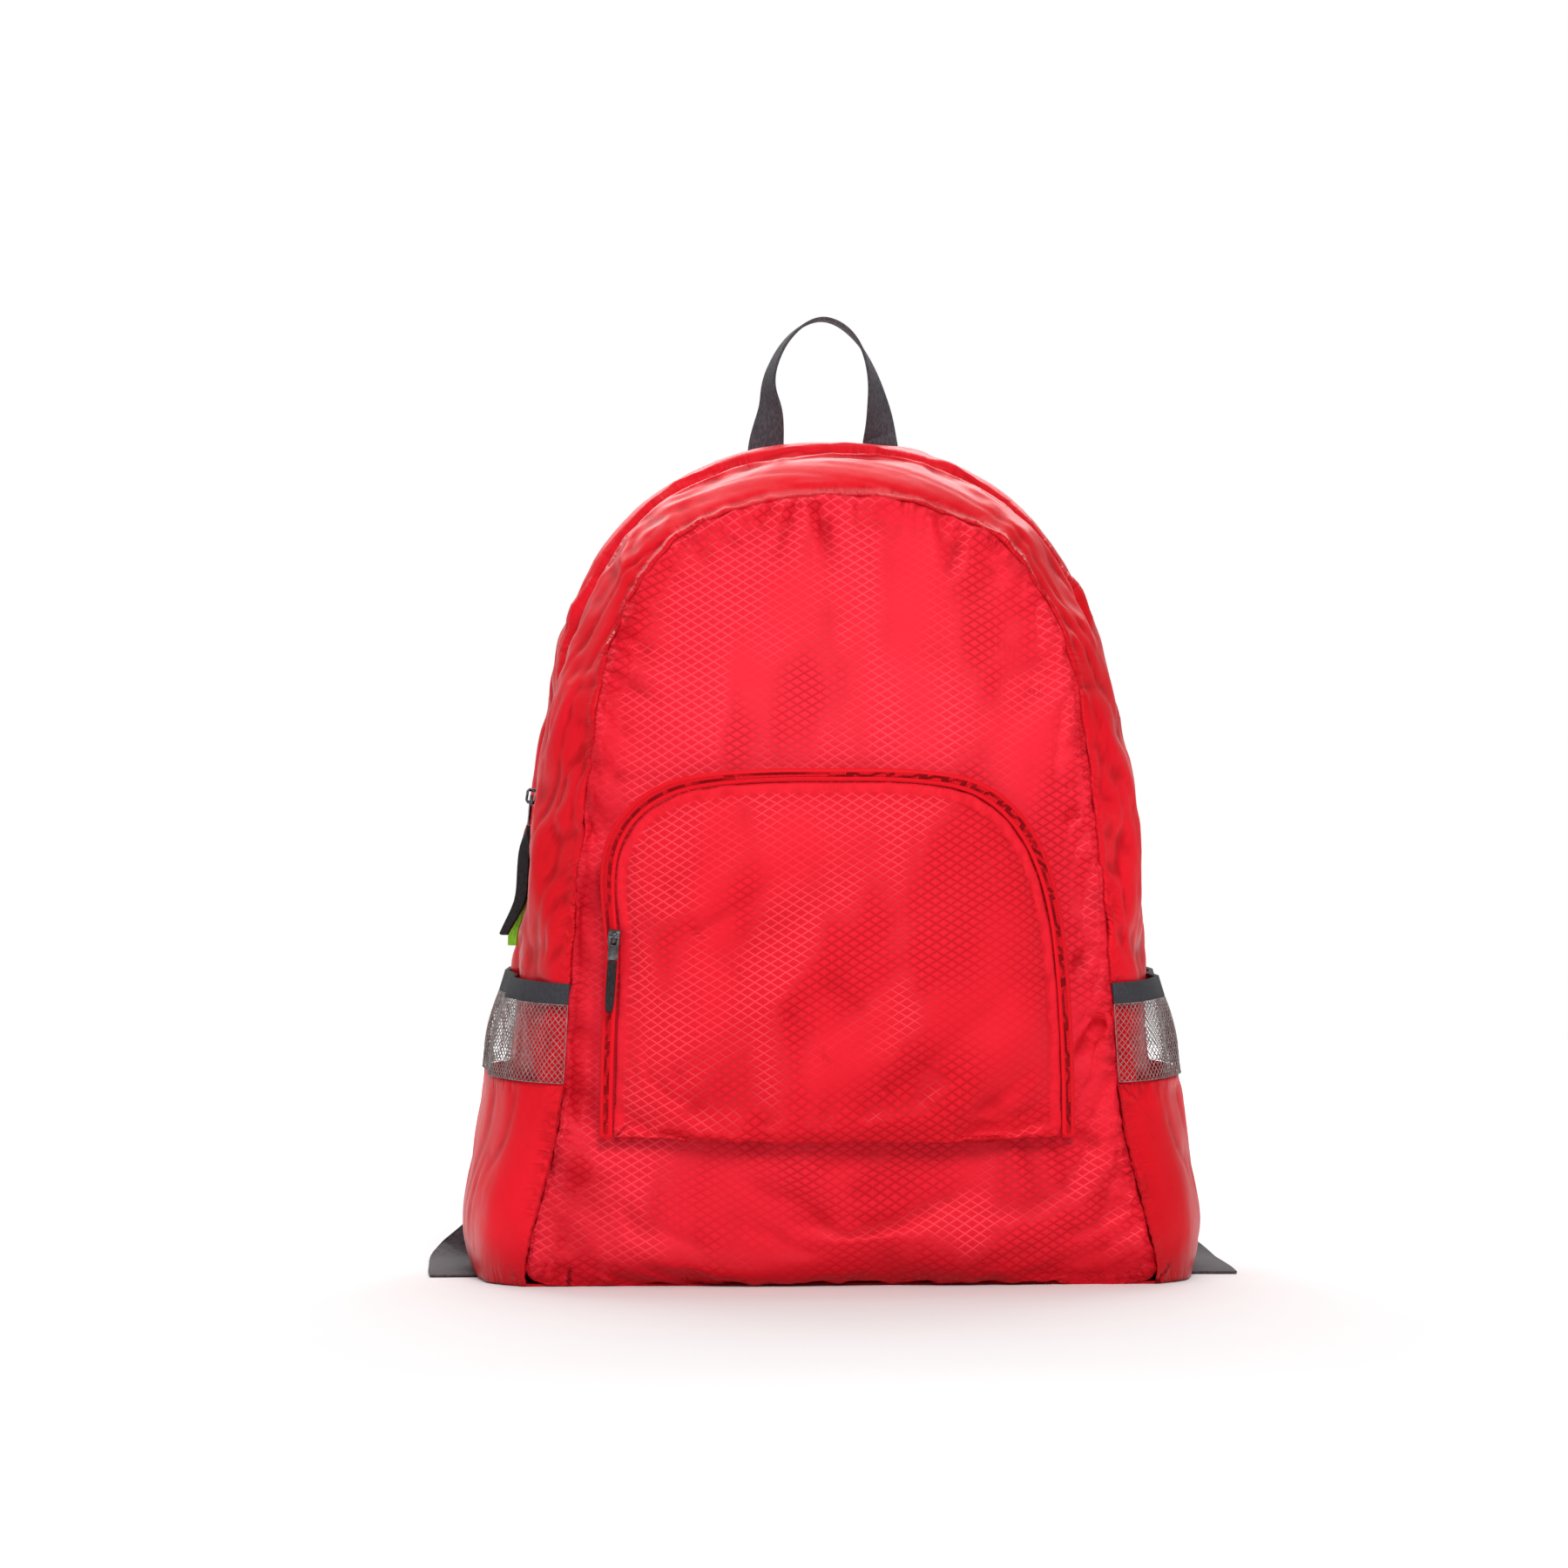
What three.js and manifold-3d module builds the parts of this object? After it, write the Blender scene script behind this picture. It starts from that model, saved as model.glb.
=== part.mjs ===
// A packable daypack, stuffed and standing on its base.
// Millimetres, +Z up, the front faces -Y, the origin is the middle of the flat base.
import * as THREE from "three";
import { mergeVertices } from "three/addons/utils/BufferGeometryUtils.js";
import Module from "manifold-3d";

const wasm = await Module();
wasm.setup();

// Body
const bodyHeight = 435;
const bodyWidth = 379;
const baseDepth = 150;
const topDepth = 84;
const topShift = 10;
const frontDrop = 28;
const frontInset = 24.5;
const backDrop = 13;
const backInset = 10;
const bellyRise = 27;
const backRise = 9;
const seamBow = 6;
const valleyDepth = 6;
const gatherRise = 1.3;
const foldRise = 3.2;
const clothThick = 1.3;
const seamGap = 0.35;

// Main zip
const zipWidth = 9;
const zipFoot = 182;
const sliderHeight = 249;
const sliderLength = 11;
const sliderWidth = 8;
const sliderThick = 2;
const crownRise = 4.6;
const crownWidth = 2;
const crownThick = 1.3;
const pinThick = 1.2;
const armLength = 5;
const armGap = 0.7;
const tabLength = 15;
const tabWidth = 7;
const tabThick = 1.2;
const stripLength = 58;
const stripWidth = 7;
const stripThick = 2;
const stripKick = 7;
const tipLength = 26;
const tipThick = 1.4;
const tipPast = 5;

// Front pocket
const pocketWidth = 242;
const pocketHeight = 188;
const pocketFoot = 76;
const pocketShift = -3;
const pocketZipWidth = 6.5;
const pocketBandWidth = 8.5;
const pocketBandRise = 9;
const pocketRise = 15;
const pocketClear = 0.8;
const pocketSliderDrop = 86;
const pocketStripLength = 26;
const pocketStripKick = 2;
const pocketScale = 0.75;

// Side pockets
const sideTopFront = 154;
const sideTopBack = 160;
const elasticHeight = 11;
const meshHeight = 40;
const elasticThick = 2;
const sideRise = 8.6;
const sideClear = 1;

// Haul loop
const haulWidth = 20;
const haulThick = 1.6;
const haulRise = 69;
const haulSpan = 61;
const haulLean = 6;

// Shoulder straps and webbing
const strapWidth = 54;
const strapThick = 5;
const strapTip = 25;
const strapBow = 58;
const strapSpread = 36;
const strapFoot = 168;
const strapSeat = 22;
const lockSpread = 78;
const lockOff = 30;
const webWidth = 25;
const webThick = 1.3;
const lockWidth = 33;
const lockHeight = 26;
const lockThick = 3;
const lockBar = 3.4;
const lockCorner = 3;
const slotRoom = 0.8;
const tabSide = 34;
const webSeatInset = 16;
const webSeatHeight = 20;
const tailReach = 92;
const tailBehind = 42;
const restGap = 0.35;

const seamHalf = bodyWidth / 2 - frontInset;
const seamHeight = bodyHeight - frontDrop;
const backHalf = bodyWidth / 2 - backInset;
const backHeight = bodyHeight - backDrop;

// The arch from a bottom corner up to the middle of the top, as shares of its half width and height:
// first the front seam, then the widest outline of the gusset.
const archRows = [
  // seamOut, seamUp, bodyOut, bodyUp
  [1.0, 0.0, 0.97, 0.0],
  [0.955, 0.07, 1.0, 0.05],
  [0.905, 0.145, 0.965, 0.115],
  [0.862, 0.235, 0.924, 0.19],
  [0.85, 0.33, 0.893, 0.28],
  [0.83, 0.44, 0.875, 0.375],
  [0.812, 0.54, 0.867, 0.475],
  [0.785, 0.63, 0.84, 0.575],
  [0.757, 0.735, 0.795, 0.68],
  [0.715, 0.812, 0.735, 0.77],
  [0.64, 0.875, 0.655, 0.85],
  [0.525, 0.937, 0.535, 0.92],
  [0.37, 0.973, 0.36, 0.968],
  [0.19, 0.994, 0.175, 0.994],
  [0.0, 1.0, 0.0, 1.0],
].map(([seamOut, seamUp, bodyOut, bodyUp]) => ({ seamOut, seamUp, bodyOut, bodyUp }));

// The gusset's section from the front seam to the back seam. reach goes from the front seam to the
// outline, back from the outline to the back seam, and deep from the front to the back.
const sectionRows = [
  // across, reach, back, deep
  [0.0, 0.0, 0.0, 0.0],
  [0.12, 0.4, 0.0, 0.05],
  [0.27, 0.74, 0.0, 0.19],
  [0.42, 0.93, 0.0, 0.37],
  [0.55, 0.985, 0.0, 0.52],
  [0.68, 1.0, 0.0, 0.65],
  [0.84, 1.0, 0.0, 0.84],
  [0.93, 1.0, 0.45, 0.945],
  [1.0, 1.0, 1.0, 1.0],
].map(([across, reach, back, deep]) => ({ across, reach, back, deep }));
const valleyAcross = 0.55;

// The pocket's arch from a bottom corner to the middle of its top, as shares of its half width and height.
const pocketRows = [
  // out, up
  [1.0, 0.0],
  [0.998, 0.15],
  [0.988, 0.33],
  [0.97, 0.5],
  [0.938, 0.65],
  [0.875, 0.78],
  [0.78, 0.88],
  [0.65, 0.95],
  [0.5, 0.985],
  [0.25, 1.0],
  [0.0, 1.0],
].map(([out, up]) => ({ out, up }));

// Soft ridges on the front cloth, from their root at the seam to their tip, as shares of the front
// panel's half width and height. wide is a share of the half width and rise of the fold's rise.
const foldRows = [
  // rootX, rootZ, tipX, tipZ, wide, rise
  [-0.06, 0.985, -0.1, 0.82, 0.05, 0.8],
  [0.3, 0.965, 0.2, 0.84, 0.06, 0.7],
  [0.62, 0.86, 0.44, 0.76, 0.07, 0.9],
  [-0.7, 0.8, -0.5, 0.72, 0.06, 0.9],
  [-0.76, 0.62, -0.42, 0.7, 0.08, 0.7],
  [0.74, 0.66, 0.5, 0.72, 0.07, 0.7],
  [0.82, 0.34, 0.76, 0.5, 0.07, 0.8],
  [0.97, 0.02, 0.62, 0.12, 0.08, 1.0],
  [-0.97, 0.02, -0.62, 0.12, 0.08, 1.0],
  [0.5, 0.02, 0.3, 0.13, 0.09, 0.6],
  [-0.5, 0.02, -0.25, 0.13, 0.09, 0.6],
].map(([rootX, rootZ, tipX, tipZ, wide, rise]) => ({ rootX, rootZ, tipX, tipZ, wide, rise }));

// How fine the cloth is cut into facets.
const archSteps = 44;
const footSteps = 10;
const frontRings = [0, 0.2, 0.38, 0.54, 0.67, 0.78, 0.87, 0.94, 1];
const backRings = [0, 0.35, 0.65, 0.88, 1];
const pocketRings = [0, 0.26, 0.5, 0.7, 0.86, 0.95, 1];
const pocketSteps = 36;
const pocketFootSteps = 12;
const haulSteps = 36;

const vec = (x, y, z) => new THREE.Vector3(x, y, z);
const lerp = (a, b, share) => a + (b - a) * share;
const clamp = (value, low, high) => Math.min(high, Math.max(low, value));
const smooth = (edge0, edge1, value) => {
  const share = clamp((value - edge0) / (edge1 - edge0), 0, 1);
  return share * share * (3 - 2 * share);
};
const bell = (value) => Math.exp(-value * value);
const range = (count) => Array.from({ length: count }, (_, index) => index);

function cubic(before, from, to, after, share) {
  const square = share * share;
  const cube = square * share;
  return 0.5 * (2 * from + (to - before) * share
    + (2 * before - 5 * from + 4 * to - after) * square
    + (3 * from - before - 3 * to + after) * cube);
}

// Reads a column of a half arch at turn, which runs from 0 at the right foot over the top to 1 at
// the left foot. The left half mirrors the right one.
function archValue(rows, column, turn, mirror) {
  const last = rows.length - 1;
  const place = clamp(turn, 0, 1) * 2 * last;
  const index = Math.min(Math.floor(place), 2 * last - 1);
  const read = (step) => {
    const inside = clamp(step, 0, 2 * last);
    return inside <= last ? rows[inside][column] : mirror * rows[2 * last - inside][column];
  };
  return cubic(read(index - 1), read(index), read(index + 1), read(index + 2), place - index);
}

// The front and back seams' planes: both lean in towards the top and bow out a little in the middle.
const upShare = (z) => clamp(z / bodyHeight, 0, 1);
const seamBulge = (x, z, half) => seamBow * (1 - (x / half) ** 2) * smooth(0, 0.3, z / bodyHeight);
const foreY = (x, z) => -lerp(baseDepth / 2, topDepth / 2 - topShift, upShare(z) ** 2.2) - seamBulge(x, z, seamHalf);
const aftY = (x, z) => lerp(baseDepth / 2, topDepth / 2 + topShift, upShare(z) ** 1.2) + seamBulge(x, z, backHalf);

function seamPoint(turn) {
  const x = archValue(archRows, "seamOut", turn, -1) * seamHalf;
  const z = Math.max(0, archValue(archRows, "seamUp", turn, 1)) * seamHeight;
  return vec(x, foreY(x, z), z);
}

function bodyPoint(turn, half, height) {
  const x = archValue(archRows, "bodyOut", turn, -1) * half;
  const z = Math.max(0, archValue(archRows, "bodyUp", turn, 1)) * height;
  return vec(x, aftY(x, z), z);
}

function sectionValue(column, across) {
  const last = sectionRows.length - 1;
  const from = clamp(sectionRows.findLastIndex((row) => row.across <= across), 0, last - 1);
  const slope = (index) => {
    const low = sectionRows[Math.max(0, index - 1)];
    const high = sectionRows[Math.min(last, index + 1)];
    return (high[column] - low[column]) / (high.across - low.across);
  };
  const start = sectionRows[from];
  const end = sectionRows[from + 1];
  const span = end.across - start.across;
  const share = (across - start.across) / span;
  const square = share * share;
  const cube = square * share;
  return start[column] * (2 * cube - 3 * square + 1)
    + slope(from) * span * (cube - 2 * square + share)
    + end[column] * (3 * square - 2 * cube)
    + slope(from + 1) * span * (cube - square);
}

// The gusset's outer surface: across runs from 0 at the front seam to 1 at the back seam.
function gussetPoint(turn, across) {
  const front = seamPoint(turn);
  const outline = bodyPoint(turn, bodyWidth / 2, bodyHeight);
  const rear = bodyPoint(turn, backHalf, backHeight);
  const reach = sectionValue("reach", across);
  const back = sectionValue("back", across);
  const point = vec(
    lerp(lerp(front.x, outline.x, reach), rear.x, back),
    lerp(front.y, rear.y, sectionValue("deep", across)),
    lerp(lerp(front.z, outline.z, reach), rear.z, back),
  );
  const outward = outline.clone().sub(front).setY(0).normalize();
  const foot = smooth(0, 0.1, Math.min(turn, 1 - turn));
  const lip = bell((across - 0.4) / 0.07) + bell((across - 0.7) / 0.08);
  const groove = 1 - smooth(0.036, 0.1, Math.abs(across - valleyAcross));
  const zipped = lerp(0.3, 1, smooth(zipFoot - 50, zipFoot, point.z));
  const ripple = Math.sin(turn * 57) * Math.cos(turn * 23 + across * 5) * bell((across - 0.2) / 0.16);
  point.addScaledVector(outward, foot * (lip * 1.5 - groove * zipped * valleyDepth + ripple * gatherRise));
  point.z = Math.max(0, point.z);
  return point;
}

// Half the width of an arch at a height, by halving the stretch of turn that holds it.
function halfWidthAt(arch, height) {
  let low = 0;
  let high = 0.5;
  range(24).forEach(() => {
    const middle = (low + high) / 2;
    if (arch(middle).z < height) low = middle;
    else high = middle;
  });
  return Math.max(1, Math.abs(arch(low).x));
}

// A dome over an arch: 0 at its edge, 1 over its middle. footRun is the share of the height that it
// takes to rise from the foot.
function dome(arch, foot, height, middleX, footRun, x, z) {
  const up = clamp((z - foot) / height, 0, 1);
  const side = Math.min(1, Math.abs(x - middleX) / Math.max(1, Math.abs(halfWidthAt(arch, z) - middleX)));
  return (1 - side ** 2.8) * (1 - (1 - Math.min(1, up / footRun)) ** 2.3) * (1 - up ** 8);
}

// A closed contour: the arch for turn up to archShare, then the straight foot back to the start.
const archShare = archSteps / (archSteps + footSteps);
function closedContour(arch) {
  return (round) => {
    if (round <= archShare) return arch(round / archShare);
    const share = (round - archShare) / (1 - archShare);
    return arch(1).lerp(arch(0), clamp(share, 0, 1));
  };
}

const frontContour = closedContour(seamPoint);
const backContour = closedContour((turn) => bodyPoint(turn, backHalf, backHeight));
const frontMiddle = vec(0, 0, seamHeight * 0.42);
const backMiddle = vec(0, 0, backHeight * 0.42);

// Shares of the pocket's half width and height, to keep folds of the front cloth off the pocket.
function pocketCover(x, z) {
  const side = Math.abs(x - pocketShift) / (pocketWidth / 2);
  const up = (z - pocketFoot) / pocketHeight;
  return (1 - smooth(1.0, 1.12, side)) * smooth(-0.14, -0.04, up) * (1 - smooth(1.04, 1.14, up));
}

function foldHeight(x, z) {
  const across = x / seamHalf;
  const up = z / seamHeight;
  const sum = foldRows.reduce((total, row) => {
    const runX = row.tipX - row.rootX;
    const runZ = row.tipZ - row.rootZ;
    const reach = (across - row.rootX) * runX + (up - row.rootZ) * runZ;
    const along = clamp(reach / (runX ** 2 + runZ ** 2), 0, 1);
    const off = Math.hypot(across - row.rootX - along * runX, up - row.rootZ - along * runZ);
    return total + row.rise * bell(off / row.wide) * (1 - 0.7 * along);
  }, 0);
  return sum * foldRise * (1 - pocketCover(x, z));
}

function frontSkin(x, z) {
  const inside = dome(seamPoint, 0, seamHeight, 0, 0.34, x, z);
  const full = 1.1 - 0.35 * z / seamHeight;
  return foreY(x, z) - bellyRise * full * inside - foldHeight(x, z) * smooth(0, 0.3, inside);
}

function backSkin(x, z) {
  const arch = (turn) => bodyPoint(turn, backHalf, backHeight);
  return aftY(x, z) + backRise * dome(arch, 0, backHeight, 0, 0.3, x, z);
}

// Builds a closed solid from outer and inner points in rows. round joins the last column to the first.
function wall(outer, inner, round) {
  const rows = outer.length;
  const columns = outer[0].length;
  const points = [...outer.flat(), ...inner.flat()];
  const shift = rows * columns;
  const faces = [];
  const face = (a, b, c, d) => {
    faces.push([a, b, c], [a, c, d]);
  };
  const spans = round ? columns : columns - 1;
  range(rows - 1).forEach((row) => range(spans).forEach((column) => {
    const a = row * columns + column;
    const b = row * columns + (column + 1) % columns;
    const c = b + columns;
    const d = a + columns;
    face(a, b, c, d);
    face(a + shift, d + shift, c + shift, b + shift);
  }));
  range(spans).forEach((column) => {
    const next = (column + 1) % columns;
    const top = (rows - 1) * columns;
    face(next, column, column + shift, next + shift);
    face(top + column, top + next, top + next + shift, top + column + shift);
  });
  if (!round) {
    range(rows - 1).forEach((row) => {
      const a = row * columns;
      const b = a + columns - 1;
      face(a, a + columns, a + columns + shift, a + shift);
      face(b + columns, b, b + shift, b + columns + shift);
    });
  }
  return solidFrom(points, faces);
}

// Turns points and triangles into a closed geometry, facing out.
function solidFrom(points, faces) {
  const positions = new Float32Array(points.flatMap((point) => [point.x, point.y, point.z]));
  const loose = new THREE.BufferGeometry();
  loose.setAttribute("position", new THREE.BufferAttribute(positions, 3));
  loose.setIndex(faces.flat());
  const merged = mergeVertices(loose, 1e-3);
  const index = merged.getIndex().array;
  const kept = [];
  for (let at = 0; at < index.length; at += 3) {
    const [a, b, c] = [index[at], index[at + 1], index[at + 2]];
    if (a !== b && b !== c && c !== a) kept.push(a, b, c);
  }
  merged.setIndex(kept);
  if (volume(merged) < 0) {
    for (let at = 0; at < kept.length; at += 3) [kept[at + 1], kept[at + 2]] = [kept[at + 2], kept[at + 1]];
    merged.setIndex(kept);
  }
  return merged;
}

function volume(geometry) {
  const position = geometry.getAttribute("position");
  const index = geometry.getIndex().array;
  const corner = (at) => new THREE.Vector3().fromBufferAttribute(position, index[at]);
  let total = 0;
  for (let at = 0; at < index.length; at += 3) total += corner(at).dot(corner(at + 1).cross(corner(at + 2)));
  return total / 6;
}

// Normals of a grid of points, from its neighbours, turned to face away from inside.
function gridNormals(grid, round, inside) {
  const rows = grid.length;
  const columns = grid[0].length;
  const column = (value) => (round ? (value + columns) % columns : clamp(value, 0, columns - 1));
  return grid.map((line, row) => line.map((point, at) => {
    const along = grid[row][column(at + 1)].clone().sub(grid[row][column(at - 1)]);
    const across = grid[Math.min(rows - 1, row + 1)][at].clone().sub(grid[Math.max(0, row - 1)][at]);
    const normal = along.cross(across).normalize();
    return normal.dot(point.clone().sub(inside(point))) < 0 ? normal.negate() : normal;
  }));
}

const bodyInside = (point) => vec(point.x * 0.3, 0, lerp(point.z, bodyHeight * 0.4, 0.6));

function offset(grid, normals, distance) {
  return grid.map((line, row) => line.map((point, at) => {
    const moved = point.clone().addScaledVector(normals[row][at], distance);
    if (point.z >= 0 && moved.z < 0) moved.z = 0;
    return moved;
  }));
}

// Body panels
const turns = range(archSteps + 1).map((step) => step / archSteps);

// The inward direction along a seam, shared by the two panels that meet there.
function seamInward(turn, across) {
  const step = 0.004;
  const next = gussetPoint(clamp(turn + step, 0, 1), across);
  const along = next.sub(gussetPoint(clamp(turn - step, 0, 1), across));
  const side = gussetPoint(turn, across === 0 ? 0.1 : 0.9).sub(gussetPoint(turn, across)).normalize();
  const panel = vec(0, 0, bodyHeight * 0.42).sub(gussetPoint(turn, across)).setY(0).normalize();
  const inward = side.add(panel);
  inward.addScaledVector(along.normalize(), -inward.dot(along));
  return inward.normalize();
}

function bodyPanel(contour, middle, skin, rings, across) {
  const steps = archSteps + footSteps;
  const grid = rings.map((ring) => range(steps).map((step) => {
    const edge = contour(step / steps);
    const away = Math.hypot(edge.x - middle.x, edge.z - middle.z);
    const share = ring === 1 ? 1 - seamGap / away : ring;
    const x = lerp(middle.x, edge.x, share);
    const z = lerp(middle.z, edge.z, share);
    return vec(x, skin(x, z), z);
  }));
  const normals = gridNormals(grid, true, bodyInside);
  const inner = offset(grid, normals, -clothThick);
  const last = grid.length - 1;
  grid[last].forEach((point, step) => {
    const turn = step / archSteps;
    const inward = turn <= 1 ? seamInward(turn, across) : vec(0, across === 0 ? 1 : -1, 1).normalize();
    const side = vec(middle.x - point.x, 0, middle.z - point.z).normalize();
    const corner = inward.clone().addScaledVector(side, 0.25).normalize();
    inner[last][step] = point.clone().addScaledVector(corner, clothThick);
  });
  const centre = (layer) => {
    layer[0] = layer[0].map(() => layer[0][0].clone());
  };
  centre(inner);
  return capWall(grid, inner);
}

// A wall whose first row is one middle point, so only its last row has a rim.
function capWall(outer, inner) {
  const rows = outer.length;
  const columns = outer[0].length;
  const points = [...outer.flat(), ...inner.flat()];
  const shift = rows * columns;
  const faces = [];
  range(rows - 1).forEach((row) => range(columns).forEach((column) => {
    const a = row * columns + column;
    const b = row * columns + (column + 1) % columns;
    const [c, d] = [b + columns, a + columns];
    faces.push([a, b, c], [a, c, d]);
    faces.push([a + shift, c + shift, b + shift], [a + shift, d + shift, c + shift]);
  }));
  range(columns).forEach((column) => {
    const a = (rows - 1) * columns + column;
    const b = (rows - 1) * columns + (column + 1) % columns;
    faces.push([a, b, b + shift], [a, b + shift, a + shift]);
  });
  return solidFrom(points, faces);
}

// The steps of the arch that the zip chain covers, from one side over the top to the other.
const zipTurns = turns.filter((turn) => gussetPoint(turn, valleyAcross).z >= zipFoot);

// How far the zip chain's edge lies from the valley's middle, as a share of the section.
function chainShare(turn) {
  const low = gussetPoint(turn, valleyAcross - 0.06);
  const high = gussetPoint(turn, valleyAcross + 0.06);
  const width = low.distanceTo(high) / 0.12;
  const open = turn >= zipTurns[0] && turn <= zipTurns[zipTurns.length - 1] ? 1 : 0;
  return { chain: (zipWidth / 2) / width, gap: (seamGap / 2) / width, open };
}

function gussetStrip(acrossAt, edges) {
  const grid = edges.map((edge) => turns.map((turn) => gussetPoint(turn, acrossAt(turn, edge))));
  const normals = gridNormals(grid, false, bodyInside);
  const inner = offset(grid, normals, -clothThick);
  const foot = (column) => {
    grid.forEach((line, row) => {
      const point = line[column];
      point.z = seamGap;
      inner[row][column] = point.clone().setX(point.x * (1 - clothThick / Math.abs(point.x)));
    });
  };
  foot(0);
  foot(turns.length - 1);
  return { grid, inner };
}

function frontGusset() {
  const edge = (turn, share) => {
    const { chain, gap, open } = chainShare(turn);
    const stop = valleyAcross - lerp(gap, chain + gap, open);
    return lerp(gap * 0.5, stop, share);
  };
  const { grid, inner } = gussetStrip(edge, [0, 0.22, 0.48, 0.78, 1]);
  turns.forEach((turn, column) => {
    inner[0][column] = grid[0][column].clone().addScaledVector(seamInward(turn, 0), clothThick);
  });
  return wall(grid, inner, false);
}

function rearGusset() {
  const edge = (turn, share) => {
    const { chain, gap, open } = chainShare(turn);
    const start = valleyAcross + lerp(gap, chain + gap, open);
    return lerp(start, 1 - gap * 0.5, share);
  };
  const { grid, inner } = gussetStrip(edge, [0, 0.3, 0.62, 0.85, 1]);
  const last = grid.length - 1;
  turns.forEach((turn, column) => {
    inner[last][column] = grid[last][column].clone().addScaledVector(seamInward(turn, 1), clothThick);
  });
  return wall(grid, inner, false);
}

function mainZipChain() {
  const grid = [-1, 1].map((side) => zipTurns.map((turn) => {
    const { chain, gap } = chainShare(turn);
    return gussetPoint(turn, valleyAcross + side * (chain - gap));
  }));
  const normals = gridNormals(grid, false, bodyInside);
  return wall(grid, offset(grid, normals, -clothThick), false);
}

function basePanel() {
  const acrosses = range(7).map((step) => step / 6);
  const inset = clothThick + seamGap * 2;
  const edge = (turn) => acrosses.map((across) => {
    const point = gussetPoint(turn, across);
    const deep = clamp(point.y, -baseDepth / 2 + inset, baseDepth / 2 - inset);
    return vec(point.x - Math.sign(point.x) * inset, deep, 0);
  });
  const right = edge(0);
  const left = edge(1);
  const shares = range(footSteps + 1).map((step) => step / footSteps);
  const grid = shares.map((share) => right.map((point, at) => point.clone().lerp(left[at], share)));
  const top = grid.map((line) => line.map((point) => point.clone().setZ(clothThick)));
  return wall(top, grid, false);
}

// Front pocket
function pocketEdge(turn, inset) {
  const half = pocketWidth / 2 - inset;
  const x = pocketShift + archValue(pocketRows, "out", turn, -1) * half;
  const z = pocketFoot + archValue(pocketRows, "up", turn, 1) * (pocketHeight - inset);
  return vec(x, 0, z);
}

const pocketTurns = range(pocketSteps + 1).map((step) => step / pocketSteps);
const lowLift = clothThick + pocketClear;
const liftOff = (x, z, lift) => vec(x, frontSkin(x, z) - lift, z);

// How far the pocket's rim stands off the front cloth: low along the foot, full above it.
const rimLift = (z, share) => lowLift
  + share * pocketBandRise * smooth(-0.02, 0.2, (z - pocketFoot) / pocketHeight);

function pocketStripWall(insets, shares) {
  const grid = insets.map((inset, row) => pocketTurns.map((turn) => {
    const point = pocketEdge(turn, inset);
    return liftOff(point.x, point.z, rimLift(point.z, shares[row]));
  }));
  const normals = gridNormals(grid, false, (point) => vec(point.x, 0, point.z));
  return wall(grid, offset(grid, normals, -clothThick), false);
}

const pocketZipChain = () => pocketStripWall([0, pocketZipWidth], [0, 0]);

function pocketBand() {
  const start = pocketZipWidth + pocketClear;
  const insets = [start, start + pocketBandWidth * 0.4, start + pocketBandWidth];
  return pocketStripWall(insets, [0.03, 0.72, 1]);
}

function pocketPanel() {
  const inset = pocketZipWidth + pocketBandWidth + pocketClear * 2;
  const arch = (turn) => pocketEdge(turn, inset);
  const middle = vec(pocketShift, 0, pocketFoot + pocketHeight * 0.42);
  const grid = pocketRings.map((ring) => range(pocketSteps + pocketFootSteps).map((step) => {
    const edge = step <= pocketSteps ? arch(step / pocketSteps)
      : arch(1).lerp(arch(0), (step - pocketSteps) / pocketFootSteps);
    const x = lerp(middle.x, edge.x, ring);
    const z = lerp(middle.z, edge.z, ring);
    const inside = dome(arch, pocketFoot, pocketHeight - inset, pocketShift, 0.3, x, z);
    const puff = (pocketRise - pocketBandRise) * inside + pocketFold(x, z) * smooth(0, 0.5, inside);
    return liftOff(x, z, rimLift(z, 1) + puff);
  }));
  const normals = gridNormals(grid, true, (point) => vec(point.x, 0, point.z));
  const inner = offset(grid, normals, -clothThick);
  inner[0] = inner[0].map(() => inner[0][0].clone());
  return capWall(grid, inner);
}

// Long slanting ridges of the pocket's cloth, rising to the right.
function pocketFold(x, z) {
  const along = (x - pocketShift) / pocketWidth;
  const up = (z - pocketFoot) / pocketHeight;
  return foldRise * 0.5 * Math.sin((up - along * 0.55) * 17);
}

// Side pockets: lifted off the gusset, and sewn to it at the front and back seams and at the base.
const sideRows = [
  // across, lift
  [0.02, 0.0],
  [0.08, 0.12],
  [0.16, 0.35],
  [0.27, 0.65],
  [0.4, 0.9],
  [0.55, 1.0],
  [0.72, 1.0],
  [0.86, 0.7],
  [0.94, 0.3],
  [0.98, 0.0],
].map(([across, lift]) => ({ across, lift }));

// How full the side pocket is, from the base to its top edge.
const fillRows = [
  // up, fill
  [0.0, 0.05],
  [0.1, 0.28],
  [0.3, 0.72],
  [0.5, 0.94],
  [0.7, 1.0],
  [0.84, 0.9],
  [0.92, 0.56],
  [0.96, 0.16],
  [1.0, 0.14],
].map(([up, fill]) => ({ up, fill }));

function fillAt(up) {
  const next = clamp(fillRows.findIndex((row) => row.up >= up), 1, fillRows.length - 1);
  const low = fillRows[next - 1];
  const high = fillRows[next];
  return lerp(low.fill, high.fill, clamp((up - low.up) / (high.up - low.up), 0, 1));
}

// The turn at which the gusset reaches a height, at one place across it.
function gussetTurn(height, across, left) {
  let low = 0;
  let high = 0.5;
  range(30).forEach(() => {
    const middle = (low + high) / 2;
    if (gussetPoint(middle, across).z < height) low = middle;
    else high = middle;
  });
  return left ? 1 - low : low;
}

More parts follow.
